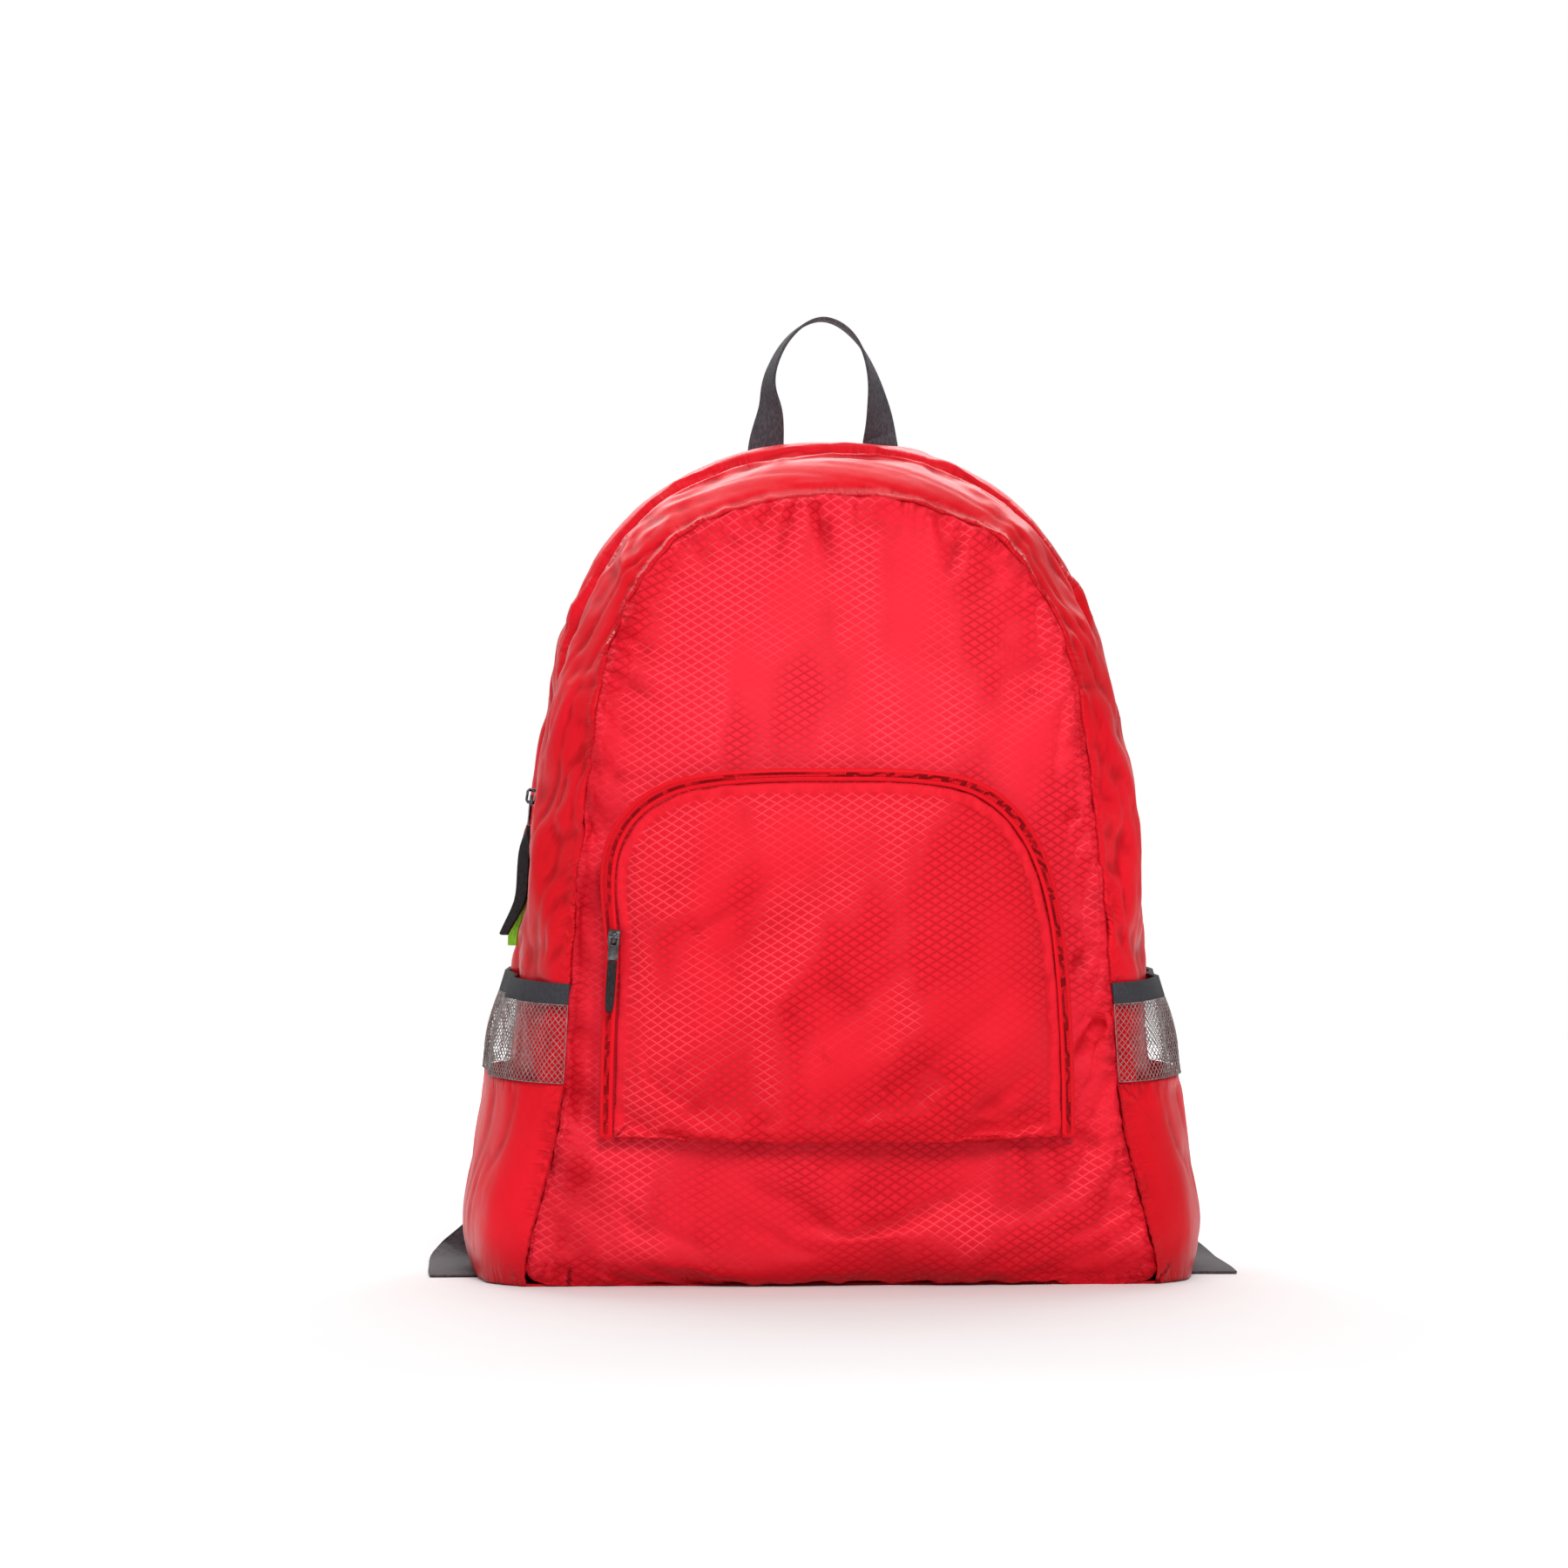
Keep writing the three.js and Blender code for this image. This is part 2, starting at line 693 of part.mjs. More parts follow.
// The level direction straight out of the gusset.
function gussetOut(turn, across) {
  const fore = gussetPoint(turn, Math.max(0.005, across - 0.03));
  const aft = gussetPoint(turn, Math.min(0.995, across + 0.03));
  const run = aft.sub(fore).setZ(0).normalize();
  const side = Math.sign(fore.x);
  return vec(run.y * side, -run.x * side, 0);
}

function sidePoint(side, height, row) {
  const turn = gussetTurn(height, row.across, side < 0);
  const top = lerp(sideTopFront, sideTopBack, row.across);
  const lift = clothThick + sideClear + row.lift * sideRise * fillAt(height / top);
  return gussetPoint(turn, row.across).addScaledVector(gussetOut(turn, row.across), lift).setZ(height);
}

function sideWall(side, heights, thick, puff) {
  const grid = heights.map((height) => sideRows.map((row) => {
    const top = lerp(sideTopFront, sideTopBack, row.across);
    return sidePoint(side, height(top), row);
  }));
  const normals = gridNormals(grid, false, (point) => vec(0, 0, point.z));
  const outer = offset(grid, normals, puff);
  return wall(outer, offset(outer, normals, -thick), false);
}

const elasticFoot = (top) => top - elasticHeight;
const meshFoot = (top) => top - elasticHeight - meshHeight;
function sideElastic(side) {
  return sideWall(side, [(top) => top, (top) => elasticFoot(top) + restGap], elasticThick, 0.3);
}
function sideMesh(side) {
  const height = (share) => (top) => lerp(elasticFoot(top), meshFoot(top) + restGap, share);
  return sideWall(side, [0, 0.15, 0.5, 1].map(height), clothThick, 0);
}
function sideCloth(side) {
  const lowest = webThick + restGap * 4;
  const rows = [0, 0.2, 0.42, 0.64, 0.84, 1].map((share) => (top) => lerp(meshFoot(top), lowest, share));
  return sideWall(side, rows, clothThick, 0);
}

// A flat band swept along points, its width along the given directions.
function band(points, widths, width, thick) {
  const last = points.length - 1;
  const outer = [];
  const inner = [];
  points.forEach((point, at) => {
    const tangent = points[Math.min(last, at + 1)].clone().sub(points[Math.max(0, at - 1)]).normalize();
    const side = widths[at].clone().addScaledVector(tangent, -widths[at].dot(tangent)).normalize();
    const up = tangent.clone().cross(side);
    const wide = typeof width === "function" ? width(at / last) : width;
    const deep = typeof thick === "function" ? thick(at / last) : thick;
    const corner = (a, b) => point.clone()
      .addScaledVector(side, a * wide / 2).addScaledVector(up, b * deep / 2);
    outer.push([corner(-1, 1), corner(1, 1)]);
    inner.push([corner(-1, -1), corner(1, -1)]);
  });
  return wall(outer, inner, false);
}

function curvePoints(points, count) {
  const curve = new THREE.CatmullRomCurve3(points, false, "centripetal");
  return curve.getSpacedPoints(count);
}

// Haul loop, from the right foot over the top to the left foot, as shares of its span and rise. Each
// leg makes a quarter twist, so the loop stands edge-on to the front.
const haulRows = [
  // across, up, twist
  [0.5, -0.17, 10],
  [0.475, 0.03, 12],
  [0.47, 0.2, 36],
  [0.445, 0.36, 52],
  [0.415, 0.52, 66],
  [0.36, 0.68, 76],
  [0.27, 0.83, 84],
  [0.12, 0.955, 90],
  [-0.05, 1.0, 90],
  [-0.22, 0.94, 92],
  [-0.36, 0.82, 95],
  [-0.45, 0.68, 97],
  [-0.5, 0.55, 100],
  [-0.505, 0.44, 106],
  [-0.485, 0.32, 122],
  [-0.5, 0.18, 142],
  [-0.525, 0.03, 160],
  [-0.53, -0.17, 168],
].map(([across, up, twist]) => ({ across, up, twist }));

function haulLoop() {
  const sewn = aftY(0, backHeight) + haulThick + restGap * 3;
  const points = haulRows.map((row) => vec(
    row.across * haulSpan, sewn - haulLean * smooth(0.05, 0.6, row.up), bodyHeight + row.up * haulRise,
  ));
  const path = curvePoints(points, haulSteps);
  const widths = path.map((point, at) => {
    const place = at / haulSteps * (haulRows.length - 1);
    const from = Math.min(Math.floor(place), haulRows.length - 2);
    const degrees = lerp(haulRows[from].twist, haulRows[from + 1].twist, place - from);
    const twist = THREE.MathUtils.degToRad(degrees);
    return vec(Math.cos(twist), Math.sin(twist), 0);
  });
  return band(path, widths, haulWidth, haulThick);
}

// Ladder lock, shoulder strap and lower webbing, for the side with this sign.
function lockFrame(side) {
  const x = side * (strapSpread + lockSpread);
  const z = strapFoot;
  const at = vec(x, backSkin(x, z) + lockOff, z);
  const down = vec(side * 0.32, -0.2, -0.92).normalize();
  const level = vec(0.94 * side, 0, 0.3);
  const wide = level.clone().addScaledVector(down, -down.dot(level)).normalize();
  const out = down.clone().cross(wide).normalize();
  if (out.y < 0) out.negate();
  return { at, down, wide, out };
}

const inFrame = (frame, along, out) => frame.at.clone()
  .addScaledVector(frame.down, along).addScaledVector(frame.out, out);

function ladderLock(side) {
  const frame = lockFrame(side);
  const halfWide = lockWidth / 2;
  const halfHigh = lockHeight / 2;
  const corners = [[-1, -1], [1, -1], [1, 1], [-1, 1]].flatMap(([a, b]) => {
    const tall = new THREE.Vector2(a * halfWide, b * (halfHigh - lockCorner));
    const wide = new THREE.Vector2(a * (halfWide - lockCorner), b * halfHigh);
    return a === b ? [tall, wide] : [wide, tall];
  });
  const shape = new THREE.Shape(corners);
  const slotHalf = webWidth / 2 + slotRoom;
  [-1, 1].forEach((part) => {
    const near = part * lockBar / 2;
    const far = part * (lockHeight / 2 - lockBar);
    const hole = new THREE.Path([
      new THREE.Vector2(-slotHalf, near), new THREE.Vector2(slotHalf, near),
      new THREE.Vector2(slotHalf, far), new THREE.Vector2(-slotHalf, far),
    ]);
    shape.holes.push(hole);
  });
  const plate = new THREE.ExtrudeGeometry(shape, { depth: lockThick, bevelEnabled: false });
  plate.translate(0, 0, -lockThick / 2);
  const up = frame.down.clone().negate();
  const basis = new THREE.Matrix4().makeBasis(frame.wide, up, frame.wide.clone().cross(up));
  basis.setPosition(frame.at);
  plate.applyMatrix4(basis);
  return plate;
}

// Points of a U-turn round a lock bar: part is -1 for the upper bar and 1 for the lower one.
function lockTurn(frame, part, thick) {
  const bar = part * (lockHeight / 2 - lockBar / 2);
  const slot = part * (lockHeight / 2 - lockBar) / 2 + part * lockBar / 4;
  const off = lockThick / 2 + restGap + thick / 2;
  const past = bar + part * 5;
  const bend = slot + part * 1.2;
  return [
    inFrame(frame, past, -off), inFrame(frame, bar, -off), inFrame(frame, bend, -off * 0.75),
    inFrame(frame, slot, 0),
    inFrame(frame, bend, off * 0.75), inFrame(frame, bar, off), inFrame(frame, past, off),
  ];
}

function shoulderStrap(side) {
  const frame = lockFrame(side);
  const top = backHeight - strapSeat;
  const x = side * strapSpread;
  const lie = (z) => backSkin(x, z) + strapThick / 2 + restGap;
  const turn = lockTurn(frame, -1, webThick).reverse();
  const start = [
    vec(x, lie(top) + 1.4, top), vec(x, lie(top - 14) + 2.2, top - 14),
    vec(x + side * 8, lie(top - 60) + strapBow * 0.5, top - 58),
    vec(x + side * 30, lie(top - 130) + strapBow * 0.88, top - 128),
    vec(x + side * 56, frame.at.y + strapBow * 0.3, lerp(top, strapFoot, 0.78)),
  ];
  const path = curvePoints([...start, inFrame(frame, -lockHeight / 2 - 14, 3)], 22);
  const tail = turn.slice(0, 6);
  const tip = curvePoints([path[path.length - 1].clone().addScaledVector(frame.down, 3), ...tail], 12);
  const all = [...path, ...tip];
  const widths = all.map((_, at) => vec(side, 0, 0).lerp(frame.wide, Math.min(1, at / path.length)));
  const share = (path.length - 1) / (all.length - 1);
  const wide = (at) => lerp(strapWidth, strapTip, smooth(share * 0.45, share, at));
  const deep = (at) => lerp(strapThick, webThick, smooth(share * 0.8, share, at));
  return band(all, widths, wide, deep);
}

function lowerWebbing(side) {
  const frame = lockFrame(side);
  const footX = side * (backHalf - webSeatInset);
  const footZ = webSeatHeight;
  const sewn = backSkin(footX, footZ) + clothThick + restGap * 4 + webThick;
  const turn = lockTurn(frame, 1, webThick);
  const rise = curvePoints([
    vec(footX, sewn, footZ), vec(footX - side * 8, sewn + 3, footZ + 20),
    inFrame(frame, lockHeight / 2 + 34, -7), inFrame(frame, lockHeight / 2 + 12, -3.2),
    turn[0],
  ], 9);
  const loop = curvePoints(turn, 10);
  const floor = webThick / 2 + restGap;
  const outX = side * (bodyWidth / 2 + webWidth / 2 - 3);
  const reach = baseDepth / 2 + tailBehind;
  const drop = curvePoints([
    turn[6], inFrame(frame, lockHeight / 2 + 16, 4.5), inFrame(frame, lockHeight / 2 + 60, 12),
    vec(side * (backHalf - 22), reach - 2, 48), vec(side * (backHalf - 3), reach, 16),
    vec(outX - side * 2, reach - 12, floor + 2.5), vec(outX, reach - 30, floor), vec(outX, reach - 60, floor),
    vec(outX, reach - 60 - tailReach * 0.5, floor), vec(outX - side * 1, baseDepth / 2 - tailReach, floor),
  ], 26);
  const all = [...rise.slice(0, -1), ...loop.slice(0, -1), ...drop];
  const lying = vec(side, 0.05 * side, 0);
  const dropFrom = all.length - drop.length;
  const widths = all.map((point, at) => {
    if (at < rise.length) return vec(side, 0, 0).lerp(frame.wide, at / rise.length);
    if (at < dropFrom) return frame.wide;
    return frame.wide.clone().lerp(lying, smooth(0.25, 0.55, (at - dropFrom) / drop.length));
  });
  return band(all, widths, webWidth, webThick);
}

// A flat triangle sewn into the lower back corner, clear of the cloth that bulges under it.
function anchorTab(side) {
  const x = side * (backHalf - 4);
  const foot = 4;
  const corners = [vec(x, 0, foot), vec(x - side * 4, 0, foot + tabSide), vec(x - side * tabSide, 0, foot)];
  corners.forEach((corner) => corner.setY(backSkin(corner.x, corner.z)));
  const share = range(7).map((step) => step / 6);
  const bulge = Math.max(...share.flatMap((a) => share.filter((b) => a + b <= 1).map((b) => {
    const point = corners[0].clone().multiplyScalar(1 - a - b)
      .addScaledVector(corners[1], a).addScaledVector(corners[2], b);
    return backSkin(point.x, point.z) - point.y;
  })));
  const layer = (lift) => corners.map((corner) => corner.clone().add(vec(0, bulge + lift, 0)));
  const faces = [[0, 1, 2], [5, 4, 3], [0, 3, 4], [0, 4, 1], [1, 4, 5], [1, 5, 2], [2, 5, 3], [2, 3, 0]];
  return solidFrom([...layer(restGap + clothThick), ...layer(restGap)], faces);
}

// Zip sliders and pulls, in a frame of their own: down the zip, out of the cloth and across the chain.
function manifoldOf(geometry) {
  const plain = geometry.clone();
  plain.deleteAttribute("normal");
  plain.deleteAttribute("uv");
  const merged = mergeVertices(plain, 1e-4);
  const mesh = new wasm.Mesh({
    numProp: 3,
    vertProperties: new Float32Array(merged.getAttribute("position").array),
    triVerts: new Uint32Array(merged.getIndex().array),
  });
  mesh.merge();
  return new wasm.Manifold(mesh);
}

function geometryOf(solid) {
  const mesh = solid.getMesh();
  const geometry = new THREE.BufferGeometry();
  geometry.setAttribute("position", new THREE.BufferAttribute(new Float32Array(mesh.vertProperties), 3));
  geometry.setIndex(Array.from(mesh.triVerts));
  return geometry;
}

// An outline of [down, out] points, extruded across the chain.
function acrossPlate(outline, width) {
  const shape = new THREE.Shape(outline.map(([down, out]) => new THREE.Vector2(down, out)));
  const geometry = new THREE.ExtrudeGeometry(shape, { depth: width, bevelEnabled: false });
  geometry.translate(0, 0, -width / 2);
  return geometry;
}

function sliderBody(scale) {
  const half = sliderLength / 2 * scale;
  const wide = sliderWidth * scale;
  const plate = acrossPlate([
    [-half, 0], [half, 0], [half, sliderThick * 0.6], [half * 0.6, sliderThick], [-half * 0.6, sliderThick],
    [-half, sliderThick * 0.6],
  ], wide);
  const foot = sliderThick * 0.5;
  const high = sliderThick + crownRise * scale;
  const crown = acrossPlate([
    [-half * 0.75, foot], [-half * 0.75, high * 0.8], [-half * 0.45, high], [half * 0.45, high],
    [half * 0.75, high * 0.8], [half * 0.75, foot], [half * 0.42, foot],
    [half * 0.42, high - crownThick], [-half * 0.42, high - crownThick], [-half * 0.42, foot],
  ], crownWidth * scale);
  return geometryOf(manifoldOf(plate).add(manifoldOf(crown)));
}

const hingeOut = (scale) => sliderThick + (crownRise * scale - crownThick) / 2;

// The tab: two arms and a pin through the crown, then a flat plate. The hinge is at its origin.
function pullTab(scale) {
  const arms = armLength * scale;
  const arm = (side) => {
    const inner = crownWidth * scale / 2 + armGap;
    const geometry = new THREE.BoxGeometry(arms + pinThick, tabThick, tabWidth * scale / 2 - inner);
    geometry.translate(arms / 2, 0, side * (inner + tabWidth * scale / 2) / 2);
    return manifoldOf(geometry);
  };
  const pin = new THREE.CylinderGeometry(pinThick / 2, pinThick / 2, tabWidth * scale - 0.4, 8);
  pin.rotateX(Math.PI / 2);
  const plate = new THREE.BoxGeometry(tabLength * scale - arms, tabThick, tabWidth * scale);
  plate.translate((arms + tabLength * scale) / 2, 0, 0);
  return geometryOf(arm(-1).add(arm(1)).add(manifoldOf(pin)).add(manifoldOf(plate)));
}

// The strip below the tab, kicking out at its end.
function pullStrip(length, width, thick, kick, scale) {
  const start = tabLength * scale + restGap;
  const points = range(9).map((step) => {
    const share = step / 8;
    const lift = kick * (smooth(0.6, 1.1, share) * 1.2 + 0.1 * Math.sin(share * 6));
    return vec(start + share * length, lift, 0);
  });
  const taper = (share) => width * lerp(1, 0.72, smooth(0.75, 1, share));
  return band(points, points.map(() => vec(0, 0, 1)), taper, thick);
}

// The under layer of the main pull, which runs on straight where the strip over it kicks out.
function pullTip() {
  const end = tabLength + restGap + stripLength + tipPast;
  const under = -stripThick / 2 - restGap - tipThick / 2;
  const downs = [end - tipLength, end - tipLength * 0.5, end];
  const points = downs.map((down) => vec(down, under, stripWidth * 0.12));
  const taper = (share) => stripWidth * lerp(1, 0.8, share);
  return band(points, points.map(() => vec(0, 0, 1)), taper, tipThick);
}

function placeFrame(geometry, at, down, out) {
  const across = down.clone().cross(out).normalize();
  const square = across.clone().cross(down).normalize();
  const matrix = new THREE.Matrix4().makeBasis(down, square, across);
  matrix.setPosition(at);
  return geometry.clone().applyMatrix4(matrix);
}

// Where the main zip's slider sits, on the left, and the way its pull hangs down the valley.
function mainSliderSeat() {
  const turn = gussetTurn(sliderHeight, valleyAcross, true);
  const at = gussetPoint(turn, valleyAcross);
  const pullReach = tabLength + stripLength;
  const lowTurn = gussetTurn(sliderHeight - pullReach, valleyAcross, true);
  const near = gussetPoint(gussetTurn(sliderHeight - 10, valleyAcross, true), valleyAcross);
  const down = near.sub(at).normalize();
  const rear = gussetPoint(turn, valleyAcross + 0.06).sub(gussetPoint(turn, valleyAcross - 0.06));
  const out = down.clone().cross(rear).normalize();
  if (out.x > 0) out.negate();
  const seat = at.clone().addScaledVector(out, restGap * 2);
  const hinge = seat.clone().addScaledVector(out, hingeOut(1));
  const hang = gussetPoint(lowTurn, valleyAcross).addScaledVector(out, hingeOut(1) + tipThick).sub(hinge);
  return { at: seat, down, out, hinge, hang: hang.normalize() };
}

function pocketSliderSeat() {
  const level = pocketFoot + pocketHeight - pocketSliderDrop;
  const inset = pocketZipWidth / 2 - restGap;
  const steps = range(400).map((step) => 0.5 + step / 800);
  const turn = steps.find((step) => pocketEdge(step, inset).z < level);
  const spot = (share, lift) => {
    const point = pocketEdge(share, inset);
    return liftOff(point.x, point.z, lift);
  };
  const lift = lowLift + restGap * 5;
  const at = spot(turn, lift);
  const down = spot(turn + 0.02, lift).sub(at).normalize();
  const out = vec(0, -1, 0);
  const hinge = at.clone().addScaledVector(out, hingeOut(pocketScale));
  const hang = spot(turn + 0.08, lift + hingeOut(pocketScale) + restGap).sub(hinge).normalize();
  return { at, down, out, hinge, hang };
}

const group = new THREE.Group();
const finishes = {
  red: new THREE.MeshStandardMaterial({ color: 0xe02632, roughness: 0.55, metalness: 0 }),
  weave: new THREE.MeshStandardMaterial({ color: 0xee2f3c, roughness: 0.5, metalness: 0 }),
  zip: new THREE.MeshStandardMaterial({ color: 0xb01822, roughness: 0.6, metalness: 0 }),
  grey: new THREE.MeshStandardMaterial({ color: 0x4c484e, roughness: 0.8, metalness: 0 }),
  net: new THREE.MeshStandardMaterial({ color: 0x8c8482, roughness: 0.8, metalness: 0 }),
  lime: new THREE.MeshStandardMaterial({ color: 0x7cc21e, roughness: 0.45, metalness: 0 }),
  black: new THREE.MeshStandardMaterial({ color: 0x1c1a1b, roughness: 0.5, metalness: 0 }),
  metal: new THREE.MeshStandardMaterial({ color: 0x8c8c90, roughness: 0.35, metalness: 1 }),
};

function add(name, geometry, finish) {
  const mesh = new THREE.Mesh(geometry, finishes[finish]);
  mesh.name = name;
  group.add(mesh);
}

add("front_panel", bodyPanel(frontContour, frontMiddle, frontSkin, frontRings, 0), "weave");
add("back_panel", bodyPanel(backContour, backMiddle, backSkin, backRings, 1), "red");
add("front_gusset", frontGusset(), "red");
add("rear_gusset", rearGusset(), "red");
add("base_panel", basePanel(), "red");
add("main_zip_chain", mainZipChain(), "zip");
add("pocket_zip_chain", pocketZipChain(), "zip");
add("pocket_band", pocketBand(), "red");
add("pocket_panel", pocketPanel(), "weave");
add("haul_loop", haulLoop(), "grey");

[["left", -1], ["right", 1]].forEach(([name, side]) => {
  add(`side_elastic_${name}`, sideElastic(side), "grey");
  add(`side_mesh_${name}`, sideMesh(side), "net");
  add(`side_cloth_${name}`, sideCloth(side), "red");
  add(`shoulder_strap_${name}`, shoulderStrap(side), "grey");
  add(`ladder_lock_${name}`, ladderLock(side), "black");
  add(`lower_webbing_${name}`, lowerWebbing(side), "grey");
  add(`anchor_tab_${name}`, anchorTab(side), "red");
});

const placeSlider = (geometry, seat) => placeFrame(geometry, seat.at, seat.down, seat.out);
const placePull = (geometry, seat) => placeFrame(geometry, seat.hinge, seat.hang, seat.out);

const mainSeat = mainSliderSeat();
const mainStrip = pullStrip(stripLength, stripWidth, stripThick, stripKick, 1);
add("main_zip_slider", placeSlider(sliderBody(1), mainSeat), "metal");
add("main_zip_tab", placePull(pullTab(1), mainSeat), "metal");
add("main_zip_strip", placePull(mainStrip, mainSeat), "black");
add("main_zip_tip", placePull(pullTip(), mainSeat), "lime");

const pocketSeat = pocketSliderSeat();
const pocketStrip = pullStrip(pocketStripLength, stripWidth * 0.7, stripThick * 0.8, pocketStripKick, pocketScale);
add("pocket_zip_slider", placeSlider(sliderBody(pocketScale), pocketSeat), "metal");
add("pocket_zip_tab", placePull(pullTab(pocketScale), pocketSeat), "metal");
add("pocket_zip_strip", placePull(pocketStrip, pocketSeat), "black");

export default group;
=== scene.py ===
import math
from bisect import bisect_right

import bmesh
import bpy
from mathutils import Matrix, Vector, noise
from mathutils.geometry import interpolate_bezier
from mathutils.kdtree import KDTree


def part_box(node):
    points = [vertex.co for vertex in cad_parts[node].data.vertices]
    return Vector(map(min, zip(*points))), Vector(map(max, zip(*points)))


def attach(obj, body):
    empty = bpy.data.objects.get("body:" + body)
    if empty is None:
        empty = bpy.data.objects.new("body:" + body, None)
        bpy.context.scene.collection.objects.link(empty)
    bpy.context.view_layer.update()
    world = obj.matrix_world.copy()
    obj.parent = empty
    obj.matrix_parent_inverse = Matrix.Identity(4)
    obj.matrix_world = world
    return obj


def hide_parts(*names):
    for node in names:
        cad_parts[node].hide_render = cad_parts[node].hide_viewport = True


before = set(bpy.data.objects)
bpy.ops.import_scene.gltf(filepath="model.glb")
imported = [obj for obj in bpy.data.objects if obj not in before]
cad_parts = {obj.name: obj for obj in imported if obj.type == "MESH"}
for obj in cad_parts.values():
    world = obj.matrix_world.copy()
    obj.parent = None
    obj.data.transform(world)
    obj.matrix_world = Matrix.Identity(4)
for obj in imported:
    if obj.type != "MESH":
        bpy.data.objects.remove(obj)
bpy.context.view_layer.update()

MM = 0.001
SIDES = {"left": -1, "right": 1}

# Camera, at the photograph's angle
VIEW_TURN = math.radians(-3)
VIEW_DISTANCE = 3.0
VIEW_HEIGHT = 0.256
VIEW_SIDE = -0.0256
LENS = 131.58

# Diamond weave of the front cloth
CELL_WIDE = 7.7 * MM
CELL_TALL = 4.65 * MM

# Soft folds of the front cloth, in millimetres on the panel seen from the front.
FRONT_FOLDS = [
    dict(x=from_x, z=from_z, to_x=to_x, to_z=to_z, wide=wide, high=high)
    for from_x, from_z, to_x, to_z, wide, high in [
        (-24, 405, -34, 384, 4, 3.6),
        (-15, 402, -24, 368, 5, 3.8),
        (-10, 398, -2, 370, 4, -3.2),
        (8, 404, 14, 340, 11, 1.8),
        (38, 402, 44, 350, 9, 2.0),
        (52, 396, 58, 372, 4, -3.4),
        (70, 390, 66, 362, 5, 3.0),
        (96, 372, 76, 346, 6, 3.2),
        (-116, 350, -92, 332, 5, 4.0),
        (-122, 336, -98, 320, 4, -4.0),
        (-127, 326, -88, 306, 5, 4.2),
        (-128, 300, -98, 284, 8, -3.2),
        (-129, 276, -102, 250, 5, 4.4),
        (-130, 264, -108, 236, 5, -4.4),
        (-131, 250, -106, 226, 5, 4.6),
        (-131, 234, -114, 220, 5, -4.0),
        (-133, 212, -119, 192, 6, 3.4),
        (-129, 238, -131, 96, 6, -3.6),
        (-132, 88, -128, 200, 6, -3.0),
        (98, 318, 76, 270, 12, -1.8),
        (112, 300, 88, 256, 10, 1.8),
        (118, 250, 96, 243, 4, 4.2),
        (119, 240, 98, 232, 4, -4.2),
        (122, 222, 106, 208, 7, 2.0),
        (128, 172, 116, 160, 5, -2.6),
        (129, 162, 118, 146, 6, 2.8),
        (132, 133, 114, 110, 4, -4.6),
        (133, 122, 112, 98, 5, 4.2),
        (140, 60, 112, 72, 6, 1.6),
        (146, 36, 116, 50, 6, -1.6),
        (152, 14, 108, 48, 8, 1.8),
        (117, 79, 141, 67, 4, -3.4),
        (114, 76, 130, 44, 6, 2.4),
        (92, 76, 106, 50, 7, -2.2),
        (-152, 14, -108, 44, 9, 1.8),
        (-140, 60, -104, 74, 8, 2.4),
    ]
]

# Long slanting folds of the pocket's cloth, rising to the right.
POCKET_FOLDS = [
    dict(x=from_x, z=from_z, to_x=to_x, to_z=to_z, wide=wide, high=high)
    for from_x, from_z, to_x, to_z, wide, high in [
        (-92, 208, -56, 238, 9, -2.0),
        (-84, 190, -34, 234, 10, 2.4),
        (-60, 170, 12, 232, 11, -1.8),
        (-40, 150, 54, 238, 13, 2.6),
        (-20, 130, 84, 226, 12, -1.8),
        (10, 112, 100, 196, 12, 2.6),
        (36, 104, 104, 166, 10, -2.2),
        (58, 96, 106, 138, 8, 2.2),
        (-96, 120, -30, 178, 14, 2.0),
        (-70, 92, 0, 140, 12, -1.6),
        (84, 92, 104, 104, 5, 2.2),
    ]
]

# Rows of points in the side net of the solid model
NET_ROWS = 4

# Height up to which the side pockets cover the gussets
POCKET_TOP = 0.146

# Widest gap left between two sewn pieces of the solid model
SEAM_GAP = 1.1 * MM


def only(*objects):
    """Deselects everything, then selects these and makes the first one active."""
    bpy.ops.object.select_all(action="DESELECT")
    for obj in objects:
        obj.select_set(True)
    bpy.context.view_layer.objects.active = objects[0]


def modify(obj, kind, **settings):
    """Adds a modifier and applies it."""
    only(obj)
    modifier = obj.modifiers.new(kind.title(), kind)
    for name, value in settings.items():
        setattr(modifier, name, value)
    bpy.ops.object.modifier_apply(modifier=modifier.name)


def smooth_step(low, high, value):
    share = min(1.0, max(0.0, (value - low) / (high - low)))
    return share * share * (3 - 2 * share)


def blend_between(low, high, share):
    return low + (high - low) * share


# Shader sums


